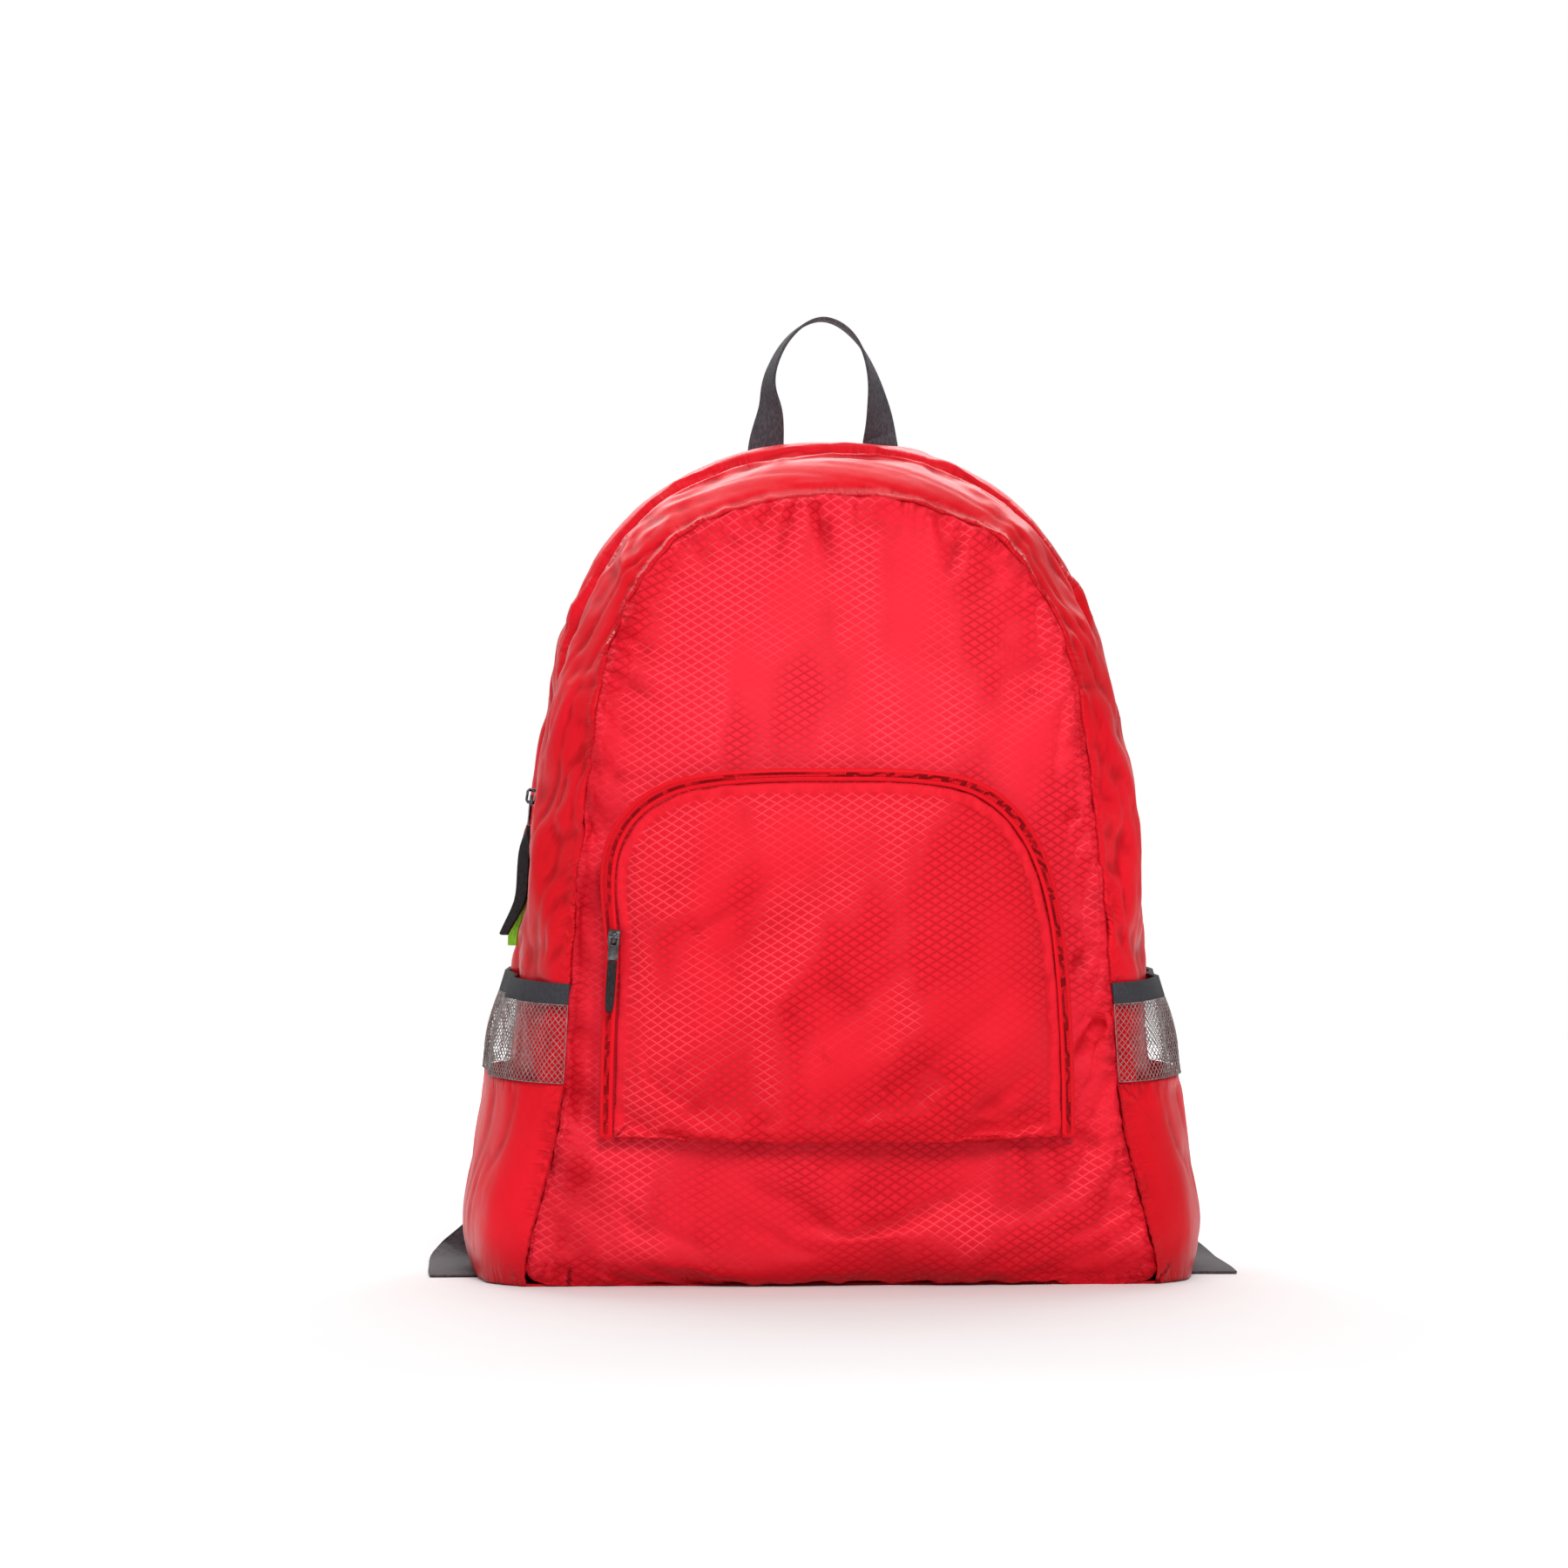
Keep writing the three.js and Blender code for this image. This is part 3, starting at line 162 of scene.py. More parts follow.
class Wire:
    """An output socket in a material's tree, on which sums can be written."""

    def __init__(self, tree, socket=None):
        self.tree = tree
        self.socket = socket

    def node(self, kind, settings=None, sockets=None, output=0):
        made = self.tree.nodes.new(kind)
        for name, value in (settings or {}).items():
            if name == "stops":
                self.set_stops(made.color_ramp, value)
            else:
                setattr(made, name, value)
        for name, value in (sockets or {}).items():
            self.join(made.inputs[name], value)
        return Wire(self.tree, made.outputs[output] if len(made.outputs) else None)

    @staticmethod
    def set_stops(ramp, stops):
        for index, (place, colour) in enumerate(stops):
            stop = ramp.elements[index] if index < 2 else ramp.elements.new(place)
            stop.position = place
            stop.color = colour

    def join(self, target, value):
        if isinstance(value, Wire):
            self.tree.links.new(value.socket, target)
        else:
            target.default_value = value

    def sum(self, operation, *values):
        return self.node("ShaderNodeMath", {"operation": operation}, dict(enumerate(values)))

    def __add__(self, other):
        return self.sum("ADD", self, other)

    def __radd__(self, other):
        return self.sum("ADD", other, self)

    def __sub__(self, other):
        return self.sum("SUBTRACT", self, other)

    def __rsub__(self, other):
        return self.sum("SUBTRACT", other, self)

    def __mul__(self, other):
        return self.sum("MULTIPLY", self, other)

    def __rmul__(self, other):
        return self.sum("MULTIPLY", other, self)

    def smooth(self, low, high):
        """0 below low, 1 above high, with a soft run between them."""
        return self.node(
            "ShaderNodeMapRange",
            {"interpolation_type": "SMOOTHSTEP"},
            {"Value": self, "From Min": low, "From Max": high},
        )

    def mix(self, first, second):
        """The first colour where this is 0 and the second where it is 1."""
        return self.node("ShaderNodeMix", {"data_type": "RGBA"}, {0: self, 6: first, 7: second}, output=2)


def new_material(name, **fixed):
    """A material with one Principled shader, whose own sockets take the fixed values."""
    material = bpy.data.materials.new(name)
    material.use_nodes = True
    tree = material.node_tree
    shader = next(node for node in tree.nodes if node.type == "BSDF_PRINCIPLED")
    for socket, value in fixed.items():
        shader.inputs[socket.replace("_", " ")].default_value = value
    return material, Wire(tree), shader


def colour(red, green, blue):
    """A linear colour from its 0 to 255 screen values."""
    linear = [((c / 255 + 0.055) / 1.055) ** 2.4 if c > 10 else c / 255 / 12.92 for c in (red, green, blue)]
    return (*linear, 1.0)


def object_noise(wire, scale, detail=2.0, rough=0.5, stretch=(1, 1, 1)):
    place = wire.node("ShaderNodeTexCoord", output=3)
    turned = wire.node("ShaderNodeMapping", None, {"Vector": place, "Scale": stretch})
    return wire.node(
        "ShaderNodeTexNoise", None, {"Vector": turned, "Scale": scale, "Detail": detail, "Roughness": rough}
    )


def bump(wire, height, distance, strength=1.0, below=None):
    sockets = {"Height": height, "Distance": distance, "Strength": strength}
    if below is not None:
        sockets["Normal"] = below
    return wire.node("ShaderNodeBump", None, sockets)


def crinkle(wire, distance=0.0006, gathered=1.0):
    """Small soft creases that thin nylon keeps from being folded, and gathers that run in from its seams."""
    broad = object_noise(wire, 28, 3.0, 0.55)
    ridge = wire.sum("ABSOLUTE", object_noise(wire, 60, 2.0, 0.5) - 0.5)
    soft = bump(wire, broad + ridge * 0.5, distance)
    return bump(wire, gathers(wire), 0.0007 * gathered, 1.0, soft)


def seam_place(wire):
    """The run along the nearest seam and the distance from it, in millimetres."""
    place = wire.node("ShaderNodeUVMap", {"uv_map": "seam"})
    run = wire.node("ShaderNodeSeparateXYZ", None, {0: place})
    distance = wire.node("ShaderNodeSeparateXYZ", None, {0: place}, output=1)
    return place, run, distance


def gathers(wire):
    """Height of the small puckers beside a seam, 0 away from it."""
    place, _, distance = seam_place(wire)
    squeezed = wire.node("ShaderNodeMapping", None, {"Vector": place, "Scale": (0.28, 0.06, 1)})
    waves = wire.node("ShaderNodeTexNoise", None, {"Vector": squeezed, "Scale": 1.0, "Detail": 2.0})
    here = wire.node("ShaderNodeMapping", None, {"Vector": place, "Scale": (0.02, 0.0, 1)})
    where = wire.node("ShaderNodeTexNoise", None, {"Vector": here, "Scale": 1.0, "Detail": 0.0}).smooth(0.4, 0.62)
    return (waves.smooth(0.36, 0.6) - 1) * (1 - distance.smooth(1.0, 13.0)) * (where * 0.75 + 0.25) + 1


def creased(wire, cloth, deep, gathered=1.0):
    """The cloth's colour with painted shade: deeper in the bottom of its folds and puckers, near the floor and where
    it turns in at its seams.
    """
    valley = wire.node("ShaderNodeAttribute", {"attribute_name": "valley"}, output=2)
    _, _, distance = seam_place(wire)
    # Painted shade in the valleys of folds and between the puckers.
    painted_shade = wire.sum("MAXIMUM", valley * 0.62, (1 - gathers(wire)) * (0.55 * gathered))
    place = wire.node("ShaderNodeTexCoord", output=3)
    height = wire.node("ShaderNodeSeparateXYZ", None, {0: place}, output=2)
    # Painted shade in the last 30 mm above the floor.
    painted_shade = wire.sum("MAXIMUM", painted_shade, (1 - height.smooth(0.002, 0.03)) * 0.7)
    # Painted shade where the cloth turns in at its seams.
    return wire.sum("MAXIMUM", painted_shade, (1 - distance.smooth(0.3, 1.6)) * (0.6 * gathered)).mix(cloth, deep)


# Nylon's shine keeps the colour of its threads
RED_SHEEN = (1.0, 0.3, 0.34, 1.0)


def ripstop(name, bright, deep, shadow, gathered=1.0):
    """Nylon with a diamond grid of thicker threads, in painted sheen and shade: the threads are painted bright where
    the cloth faces a fixed light direction and dark elsewhere.
    """
    material, wire, shader = new_material(name, Roughness=0.55, Specular_IOR_Level=0.16, Specular_Tint=RED_SHEEN)
    weave = wire.node("ShaderNodeUVMap", {"uv_map": "weave"})
    across = wire.node("ShaderNodeSeparateXYZ", None, {0: weave})
    up = wire.node("ShaderNodeSeparateXYZ", None, {0: weave}, output=1)
    rising = wire.sum("PINGPONG", across + up, 0.5)
    falling = wire.sum("PINGPONG", across - up, 0.5)
    away = wire.sum("MINIMUM", rising, falling)
    thread = 1 - away.smooth(0.015, 0.11)
    pillow = away.smooth(0.0, 0.42)
    # Painted sheen: the surface's facing toward a fixed light direction, broken up by noise streaks, picks bright or
    # shaded threads.
    facing = wire.node("ShaderNodeNewGeometry", output=1)
    turned = wire.node("ShaderNodeVectorMath", {"operation": "DOT_PRODUCT"}, {0: facing, 1: (-0.75, -0.2, 0.6)}, output=1)
    sheen_streaks = object_noise(wire, 1.0, 2.0, 0.5, (24, 1, 9))
    shine = (sheen_streaks + turned * 0.5 - 0.1).smooth(0.44, 0.66)
    plain_edge = wire.node("ShaderNodeAttribute", {"attribute_name": "plain_edge"}, output=2)
    shown = (object_noise(wire, 1.0, 1.5, 0.5, (19, 1, 12)).smooth(0.34, 0.56) * 0.8 + 0.2) * (1 - plain_edge)
    cloth = object_noise(wire, 5, 2.0, 0.5).smooth(0.3, 0.7).mix(bright, deep)
    # Painted shade on the threads and around the cells where there is no sheen; painted highlight on the threads
    # where there is, with the cells a little shaded.
    shaded_thread = ((thread * 0.34 + (1 - pillow) * 0.3) * shown).mix(cloth, shadow)
    sheen_lit_thread = (thread * 0.5 * shown).mix((pillow * 0.2 * shown).mix(cloth, shadow), colour(255, 92, 108))
    wire.join(shader.inputs["Base Color"], creased(wire, shine.mix(shaded_thread, sheen_lit_thread), shadow, gathered))
    soft = crinkle(wire, 0.0006, gathered)
    wire.join(shader.inputs["Normal"], bump(wire, pillow * shown, 0.00022, 0.8, soft))
    return material


def taffeta(name, bright, deep, shadow, rough=0.4):
    """Plain nylon with a satin face and soft creases, with painted shade in their valleys, at its seams and near the
    floor.
    """
    material, wire, shader = new_material(name, Roughness=rough, Specular_IOR_Level=0.3, Specular_Tint=RED_SHEEN)
    cloth = object_noise(wire, 7, 3.0, 0.55).smooth(0.32, 0.68).mix(bright, deep)
    wire.join(shader.inputs["Base Color"], creased(wire, cloth, shadow))
    fine = object_noise(wire, 900, 1.0, 0.5)
    wire.join(shader.inputs["Normal"], bump(wire, fine, 0.00005, 0.6, crinkle(wire, 0.0009)))
    return material


def coil_zip(name, tape, tooth):
    """A woven tape with the coil's small teeth down its middle."""
    material, wire, shader = new_material(name, Roughness=0.5, Specular_IOR_Level=0.2, Specular_Tint=RED_SHEEN)
    _, run, distance = seam_place(wire)
    middle = distance.smooth(1.9, 2.5)
    teeth = wire.sum("PINGPONG", run, 0.7).smooth(0.15, 0.5)
    line = 1 - wire.sum("ABSOLUTE", distance - 1.5).smooth(0.1, 0.45)
    wire.join(shader.inputs["Base Color"], (middle * teeth * 0.5 + line * 0.3).mix(tape, tooth))
    wire.join(shader.inputs["Normal"], bump(wire, middle * (teeth * 0.5 + 0.5), 0.0006))
    return material


def woven(name, base, light, scale=(900, 900, 420), rough=0.75):
    """Flat webbing: fine ribs across its width."""
    material, wire, shader = new_material(name, Roughness=rough, Specular_IOR_Level=0.25)
    ribs = object_noise(wire, 1.0, 1.0, 0.5, scale)
    worn = object_noise(wire, 60, 2.0, 0.6)
    wire.join(shader.inputs["Base Color"], (ribs.smooth(0.35, 0.65) * 0.6 + worn * 0.4).mix(base, light))
    wire.join(shader.inputs["Normal"], bump(wire, ribs, 0.0004, 0.8))
    return material


def bound_strap(name, base, light, binding):
    """Fine padded cloth, with a bound edge held by a row of stitches."""
    material, wire, shader = new_material(name, Roughness=0.8, Specular_IOR_Level=0.2)
    _, run, distance = seam_place(wire)
    place = wire.node("ShaderNodeTexCoord", output=3)
    across = wire.node("ShaderNodeSeparateXYZ", None, {0: place})
    height = wire.node("ShaderNodeSeparateXYZ", None, {0: place}, output=2)
    knit = wire.sum("PINGPONG", across * 700 + height * 350, 0.5) * wire.sum("PINGPONG", across * 700 - height * 350, 0.5)
    edge = 1 - distance.smooth(4.4, 4.8)
    stitch = (1 - wire.sum("ABSOLUTE", distance - 3.6).smooth(0.2, 0.5)) * wire.sum("PINGPONG", run, 1.5).smooth(0.3, 0.5)
    cloth = edge.mix((knit * 4).smooth(0.1, 0.6).mix(base, light), binding)
    wire.join(shader.inputs["Base Color"], (stitch * 0.6).mix(cloth, light))
    wire.join(shader.inputs["Normal"], bump(wire, knit * 2 * (1 - edge) + edge - stitch * 0.6, 0.0005, 0.8))
    return material


def plain(name, base, light, rough, metal=0.0, grain=300, depth=0.00005):
    """A hard or smooth finish with faint wear and grain."""
    material, wire, shader = new_material(name, Metallic=metal)
    worn = object_noise(wire, grain, 3.0, 0.6)
    wire.join(shader.inputs["Base Color"], worn.smooth(0.4, 0.75).mix(base, light))
    wire.join(shader.inputs["Roughness"], worn * 0.2 + (rough - 0.1))
    wire.join(shader.inputs["Normal"], bump(wire, worn, depth, 0.5))
    return material


# Deep red mixed into the cloths as painted shade: in folds and puckers, at seams, near the floor and on the weave's
# shaded threads
SHADE_RED = colour(158, 0, 10)
RED_WEAVE = ripstop("red_diamond_weave", colour(240, 42, 60), colour(231, 34, 51), SHADE_RED)
RED_POCKET = ripstop("red_pocket_weave", colour(230, 32, 48), colour(223, 28, 43), SHADE_RED, 0.35)
RED_TAFFETA = taffeta("red_taffeta", colour(228, 20, 38), colour(206, 12, 26), SHADE_RED)
MAIN_ZIP = coil_zip("main_zip_red", colour(190, 8, 18), colour(132, 0, 6))
POCKET_ZIP = coil_zip("pocket_zip_red", colour(226, 20, 34), colour(176, 4, 14))
GREY_WEB = woven("grey_webbing", colour(54, 51, 56), colour(84, 80, 86))
GREY_TAIL = woven("grey_tail", colour(54, 48, 52), colour(82, 76, 80), (420, 900, 900))
ELASTIC = woven("grey_elastic", colour(46, 45, 50), colour(62, 61, 66), (1500, 1500, 500))
NET = plain("net_grey", colour(128, 120, 118), colour(170, 162, 160), 0.7)
STRAP = bound_strap("grey_strap", colour(70, 67, 72), colour(84, 81, 86), colour(46, 44, 48))
BLACK_PLASTIC = plain("black_plastic", colour(26, 26, 28), colour(40, 40, 43), 0.45)
DARK_METAL = plain("dark_metal", colour(84, 82, 84), colour(122, 120, 122), 0.34, 1.0)
PULL_BLACK = woven("pull_black", colour(22, 18, 20), colour(44, 38, 41))
LIME = woven("lime", colour(112, 176, 24), colour(150, 206, 56))


# Shapes


def whole_skin(name, outward, *nodes):
    """The outer faces of neighbouring CAD walls as one sheet, closed over the seam gaps between them."""
    parts = [outer_skin(node, name, outward) for node in nodes]
    only(*parts)
    bpy.ops.object.join()
    obj = bpy.context.object
    mesh = bmesh.new()
    mesh.from_mesh(obj.data)
    rims = [vertex for vertex in mesh.verts if vertex.is_boundary]
    bmesh.ops.remove_doubles(mesh, verts=rims, dist=SEAM_GAP)
    mesh.to_mesh(obj.data)
    mesh.free()
    return obj


def outer_skin(node, name, outward):
    """The outer face of a thin CAD wall, as an open sheet of quads. outward gives its rough facing at a point."""
    obj = bpy.data.objects.new(name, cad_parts[node].data.copy())
    obj.data.name = name
    bpy.context.scene.collection.objects.link(obj)
    only(obj)
    bpy.ops.object.mode_set(mode="EDIT")
    bpy.ops.mesh.select_mode(type="FACE")
    bpy.ops.mesh.select_all(action="SELECT")
    bpy.ops.mesh.remove_doubles(threshold=1e-6)
    bpy.ops.mesh.select_all(action="DESELECT")
    mesh = bmesh.from_edit_mesh(obj.data)
    for face in mesh.faces:
        face.select = face.normal.dot(outward(face.calc_center_median())) > 0.8
    bmesh.update_edit_mesh(obj.data)
    bpy.ops.mesh.faces_select_linked_flat(sharpness=math.radians(35))
    bpy.ops.mesh.select_all(action="INVERT")
    bpy.ops.mesh.delete(type="FACE")
    bpy.ops.mesh.select_all(action="SELECT")
    bpy.ops.mesh.tris_convert_to_quads(face_threshold=math.radians(60), shape_threshold=math.radians(80))
    bpy.ops.mesh.customdata_custom_splitnormals_clear()
    bpy.ops.object.mode_set(mode="OBJECT")
    obj.data.materials.clear()
    return obj


def whole_copy(node, name):
    """A merged copy of a CAD node, with its triangles turned back into quads."""
    obj = bpy.data.objects.new(name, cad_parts[node].data.copy())
    obj.data.name = name
    bpy.context.scene.collection.objects.link(obj)
    only(obj)
    bpy.ops.object.mode_set(mode="EDIT")
    bpy.ops.mesh.select_all(action="SELECT")
    bpy.ops.mesh.remove_doubles(threshold=1e-6)
    bpy.ops.mesh.tris_convert_to_quads(face_threshold=math.radians(30), shape_threshold=math.radians(60))
    bpy.ops.mesh.customdata_custom_splitnormals_clear()
    bpy.ops.object.mode_set(mode="OBJECT")
    obj.data.materials.clear()
    return obj


def to_front(_):
    return Vector((0, -1, 0))


def to_back(_):
    return Vector((0, 1, 0))


def to_side(side):
    return lambda _: Vector((side, 0, 0))


def from_axis(point):
    """Away from the bag's middle, level below its shoulders and rounding over the top."""
    return Vector((point.x, 0, max(0.0, point.z - 0.2))).normalized()


def subdivide(obj, levels):
    modify(obj, "SUBSURF", levels=levels, render_levels=levels, boundary_smooth="PRESERVE_CORNERS")


def rim_points(obj):
    """The points of the open edge in order, each with its run along the edge."""
    mesh = bmesh.new()
    mesh.from_mesh(obj.data)
    edges = {edge for edge in mesh.edges if edge.is_boundary}
    points = []
    run = 0.0
    while edges:
        edge = min(edges, key=lambda e: (round(e.verts[0].co.z, 4), e.verts[0].co.x))
        edges.discard(edge)
        start, here = edge.verts
        points.append((start.co.copy(), run))
        while here is not start:
            points.append((here.co.copy(), run))
            nexts = [e for e in here.link_edges if e in edges]
            if not nexts:
                break
            edge = nexts[0]
            edges.discard(edge)
            run += edge.calc_length()
            here = edge.other_vert(here)
    mesh.free()
    return points


def seam_reach(obj):
    """For each point of a sheet, its distance to the sewn edge and the run along that edge, kept as UVs too."""
    rim = rim_points(obj)
    tree = KDTree(len(rim))
    for index, (point, _) in enumerate(rim):
        tree.insert(point, index)
    tree.balance()
    found = [tree.find(vertex.co) for vertex in obj.data.vertices]
    reach = [(distance, rim[index][1]) for _, index, distance in found]
    layer = obj.data.uv_layers.get("seam") or obj.data.uv_layers.new(name="seam")
    for loop in obj.data.loops:
        distance, run = reach[loop.vertex_index]
        layer.data[loop.index].uv = (run / MM, distance / MM)
    return reach


def note_valleys(obj, full=0.35 * MM, shade=None):
    """Keeps how deep each point lies below the cloth around it, as 0 to 1, for the material to paint as shade. shade
    adds to it.
    """
    mesh = bmesh.new()
    mesh.from_mesh(obj.data)
    mesh.normal_update()
    depth = {}
    for vertex in mesh.verts:
        if vertex.is_boundary:
            depth[vertex] = 0.0
            continue
        around = [edge.other_vert(vertex).co for edge in vertex.link_edges]
        middle = sum(around, Vector()) / len(around)
        depth[vertex] = (middle - vertex.co).dot(vertex.normal)
    eased = {v: (depth[v] + sum(depth[e.other_vert(v)] for e in v.link_edges)) / (1 + len(v.link_edges)) for v in mesh.verts}
    values = [min(1.0, max(0.0, eased[vertex] / full)) for vertex in mesh.verts]
    if shade:
        values = [max(value, shade(vertex.co)) for value, vertex in zip(values, mesh.verts)]
    mesh.free()
    layer = obj.data.attributes.get("valley") or obj.data.attributes.new("valley", "FLOAT", "POINT")
    layer.data.foreach_set("value", values)


def clear_of_seams(obj, far=50):
    """Marks a small piece as lying away from any seam, so that its cloth shows no gathers."""
    layer = obj.data.uv_layers.new(name="seam")
    for corner in layer.data:
        corner.uv = (0, far)


def lift(obj, heights):
    """Moves each point along its own normal."""
    normals = [vertex.normal.copy() for vertex in obj.data.vertices]
    for vertex, normal, height in zip(obj.data.vertices, normals, heights):
        vertex.co += normal * height
    obj.data.update()


def fold_height(folds, x, z):
    """Sum of soft ridges, each highest at its root on the seam and running out at its tip."""
    total = 0.0
    for fold in folds:
        run_x, run_z = fold["to_x"] - fold["x"], fold["to_z"] - fold["z"]
        length = run_x**2 + run_z**2
        share = ((x - fold["x"]) * run_x + (z - fold["z"]) * run_z) / length
        held = min(1.0, max(0.0, share))
        off = math.hypot(x - fold["x"] - held * run_x, z - fold["z"] - held * run_z)
        wide = fold["wide"] * (1 + 0.6 * held)
        side = ((x - fold["x"]) * run_z - (z - fold["z"]) * run_x) / math.sqrt(length)
        crease = math.exp(-(((side - 1.2 * wide) / (0.45 * wide)) ** 2)) * (1 if 0 < share < 1 else 0)
        total += fold["high"] * (math.exp(-((off / wide) ** 2)) - 0.45 * crease) * (1 - 0.75 * held)
    return total * MM


def waver(obj, reach, size=0.011, amount=1.3 * MM, fade=7 * MM):
    """Shakes the seams a little, the same way for both cloths that meet there."""
    for vertex, (distance, _) in zip(obj.data.vertices, reach):
        vertex.co += noise.noise_vector(vertex.co / size) * amount * math.exp(-distance / fade)
    obj.data.update()


def crumple(run, distance, pitch, amount):
    """Soft rolls with sharper creases between them, stretched along a seam."""
    place = Vector((run / (pitch * 1.7), distance / pitch, 2.1))
    soft = noise.noise(place)
    sharp = 1 - min(1.0, abs(noise.noise(place * 1.3 + Vector((7, 3, 1)))) * 3.2)
    return amount * (soft - 0.8 * sharp**2)


def pucker(run, distance, amount, pitch=0.011):
    """Short ridges that run away from a seam."""
    wave = noise.noise(Vector((run / pitch, distance / (pitch * 6), 3.7)))
    finer = noise.noise(Vector((run / (pitch * 0.45), distance / (pitch * 4), 9.1)))
    where = 0.55 + 0.9 * abs(noise.noise(Vector((run / 0.07, 0.0, 5.3))))
    fade = math.exp(-distance / (pitch * 1.5))
    return amount * fade * where * (wave + 0.45 * finer)


def tuck(distance, depth=1.6 * MM, reach=4 * MM):
    """How far the cloth dips as it turns in at a seam."""
    return -depth * (1 - smooth_step(0.0, reach, distance))


def settle(obj, spare, pressure, reach, frames=18):
    """Lets a sheet relax as cloth between its sewn edges, cut larger than its space by the share spare."""
    rest = [vertex.co.copy() for vertex in obj.data.vertices]
    mesh = bmesh.new()
    mesh.from_mesh(obj.data)
    sewn = [vertex.index for vertex in mesh.verts if vertex.is_boundary]
    mesh.free()
    group = obj.vertex_groups.new(name="sewn")
    group.add(sewn, 1.0, "REPLACE")
    only(obj)
    cloth = obj.modifiers.new("Cloth", "CLOTH")
    settings = cloth.settings
    settings.quality = 5
    settings.mass = 0.12
    settings.tension_stiffness = settings.compression_stiffness = 18
    settings.shear_stiffness = 6
    settings.bending_stiffness = 0.25
    settings.vertex_group_mass = "sewn"
    settings.shrink_min = -spare
    settings.use_pressure = True
    settings.uniform_pressure_force = pressure
    settings.effector_weights.gravity = 0.35
    cloth.collision_settings.use_collision = False
    scene = bpy.context.scene
    for number in range(1, frames + 1):
        scene.frame_set(number)
    bpy.ops.object.modifier_apply(modifier=cloth.name)
    scene.frame_set(1)
    for vertex, place in zip(obj.data.vertices, rest):
        shift = vertex.co - place
        if shift.length > reach:
            vertex.co = place + shift * (reach / shift.length)
    obj.data.update()
    obj.vertex_groups.clear()


def lay_weave(obj, turn=0.0):
    """Stores the flat cloth's own place, in cells of the weave, before the cloth is creased."""
    layer = obj.data.uv_layers.new(name="weave")
    for loop in obj.data.loops:
        place = obj.data.vertices[loop.vertex_index].co
        layer.data[loop.index].uv = (place.x / CELL_WIDE, (place.z + turn * place.x) / CELL_TALL)


def wall(obj, thick=0.7 * MM):
    """Gives a sheet its thickness, inwards, with nothing below the floor."""
    for vertex in obj.data.vertices:
        vertex.co.z = max(0.1 * MM, vertex.co.z)
    obj.data.update()
    modify(obj, "SOLIDIFY", thickness=thick, offset=-1.0, use_rim=True, use_quality_normals=True)


def dress(obj, material, nodes=(), body="bag"):
    """Finishes a piece: its material, its body and the CAD nodes that it stands for."""
    obj.data.materials.clear()
    obj.data.materials.append(material)
    only(obj)
    bpy.ops.object.shade_smooth()
    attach(obj, body)
    if nodes:
        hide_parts(*nodes)


def cloth_noise(point, size, amount):
    return amount * noise.noise(point / size)


def left_margin_shade(place):
    """Painted shade in slanting bands beside the front's left seam, where the strained cloth turns from the light.
    """
    beside = 1 - smooth_step(-0.134, -0.104, place.x)
    below = 1 - smooth_step(0.27, 0.34, place.z)
    band = noise.noise(Vector(((place.z + place.x) / 0.022, place.x / 0.06, 4.0)))
    return beside * below * min(1.0, max(0.1, 0.62 + 0.9 * band))


def front_cloth():
    obj = outer_skin("front_panel", "front_cloth", to_front)
    subdivide(obj, 2)
    lay_weave(obj, 0.03)
    settle(obj, 0.018, 0.5, 7 * MM)
    subdivide(obj, 1)
    refine_rim(obj, 14 * MM)
    pocket_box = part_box("pocket_zip_chain")
    reach = seam_reach(obj)
    heights = []
    for vertex, (distance, run) in zip(obj.data.vertices, reach):
        place = vertex.co
        hidden = covered(place, pocket_box)
        folds = fold_height(FRONT_FOLDS, place.x / MM, place.z / MM) * (1 - hidden)
        free = smooth_step(0, 20 * MM, distance)
        soft = cloth_noise(place, 0.055, 2.0 * MM) + cloth_noise(place, 0.024, 0.8 * MM)
        edge = pucker(run, distance, 2.6 * MM) + tuck(distance)
        heights.append(folds * smooth_step(0, 5 * MM, distance) + soft * free * (1 - hidden) + edge)
    lift(obj, heights)
    waver(obj, reach)
    # Painted shade in the valleys of the folds and in bands along the left margin.
    note_valleys(obj, 0.24 * MM, left_margin_shade)
    wall(obj)
    dress(obj, RED_WEAVE, ["front_panel"])
    return obj


def refine_rim(obj, reach):
    """Halves the faces near a sheet's open edge, where its puckers are."""
    close = [distance < reach for distance, _ in seam_reach(obj)]
    mesh = bmesh.new()
    mesh.from_mesh(obj.data)
    mesh.verts.ensure_lookup_table()
    edges = [e for e in mesh.edges if close[e.verts[0].index] and close[e.verts[1].index]]
    bmesh.ops.subdivide_edges(mesh, edges=edges, cuts=1, use_grid_fill=True, smooth=0.0)
    mesh.to_mesh(obj.data)
    mesh.free()


def covered(place, box):
    """1 behind the box, as seen from the front, and 0 clear of it."""
    low, high = box
    inset = 6 * MM
    inside_x = min(place.x - low.x, high.x - place.x)
    inside_z = min(place.z - low.z, high.z - place.z)
    return smooth_step(-inset, inset, min(inside_x, inside_z))


def back_cloth():
    obj = outer_skin("back_panel", "back_cloth", to_back)
    subdivide(obj, 2)
    reach = seam_reach(obj)
    heights = []
    for vertex, (distance, run) in zip(obj.data.vertices, reach):
        place = vertex.co
        soft = cloth_noise(place, 0.07, 2.2 * MM) + cloth_noise(place, 0.03, 0.8 * MM)
        edge = pucker(run, distance, 1.8 * MM) + tuck(distance)
        heights.append(soft * smooth_step(0, 20 * MM, distance) + edge)
    lift(obj, heights)
    waver(obj, reach)
    note_valleys(obj)
    wall(obj)
    dress(obj, RED_TAFFETA, ["back_panel"])
    return obj


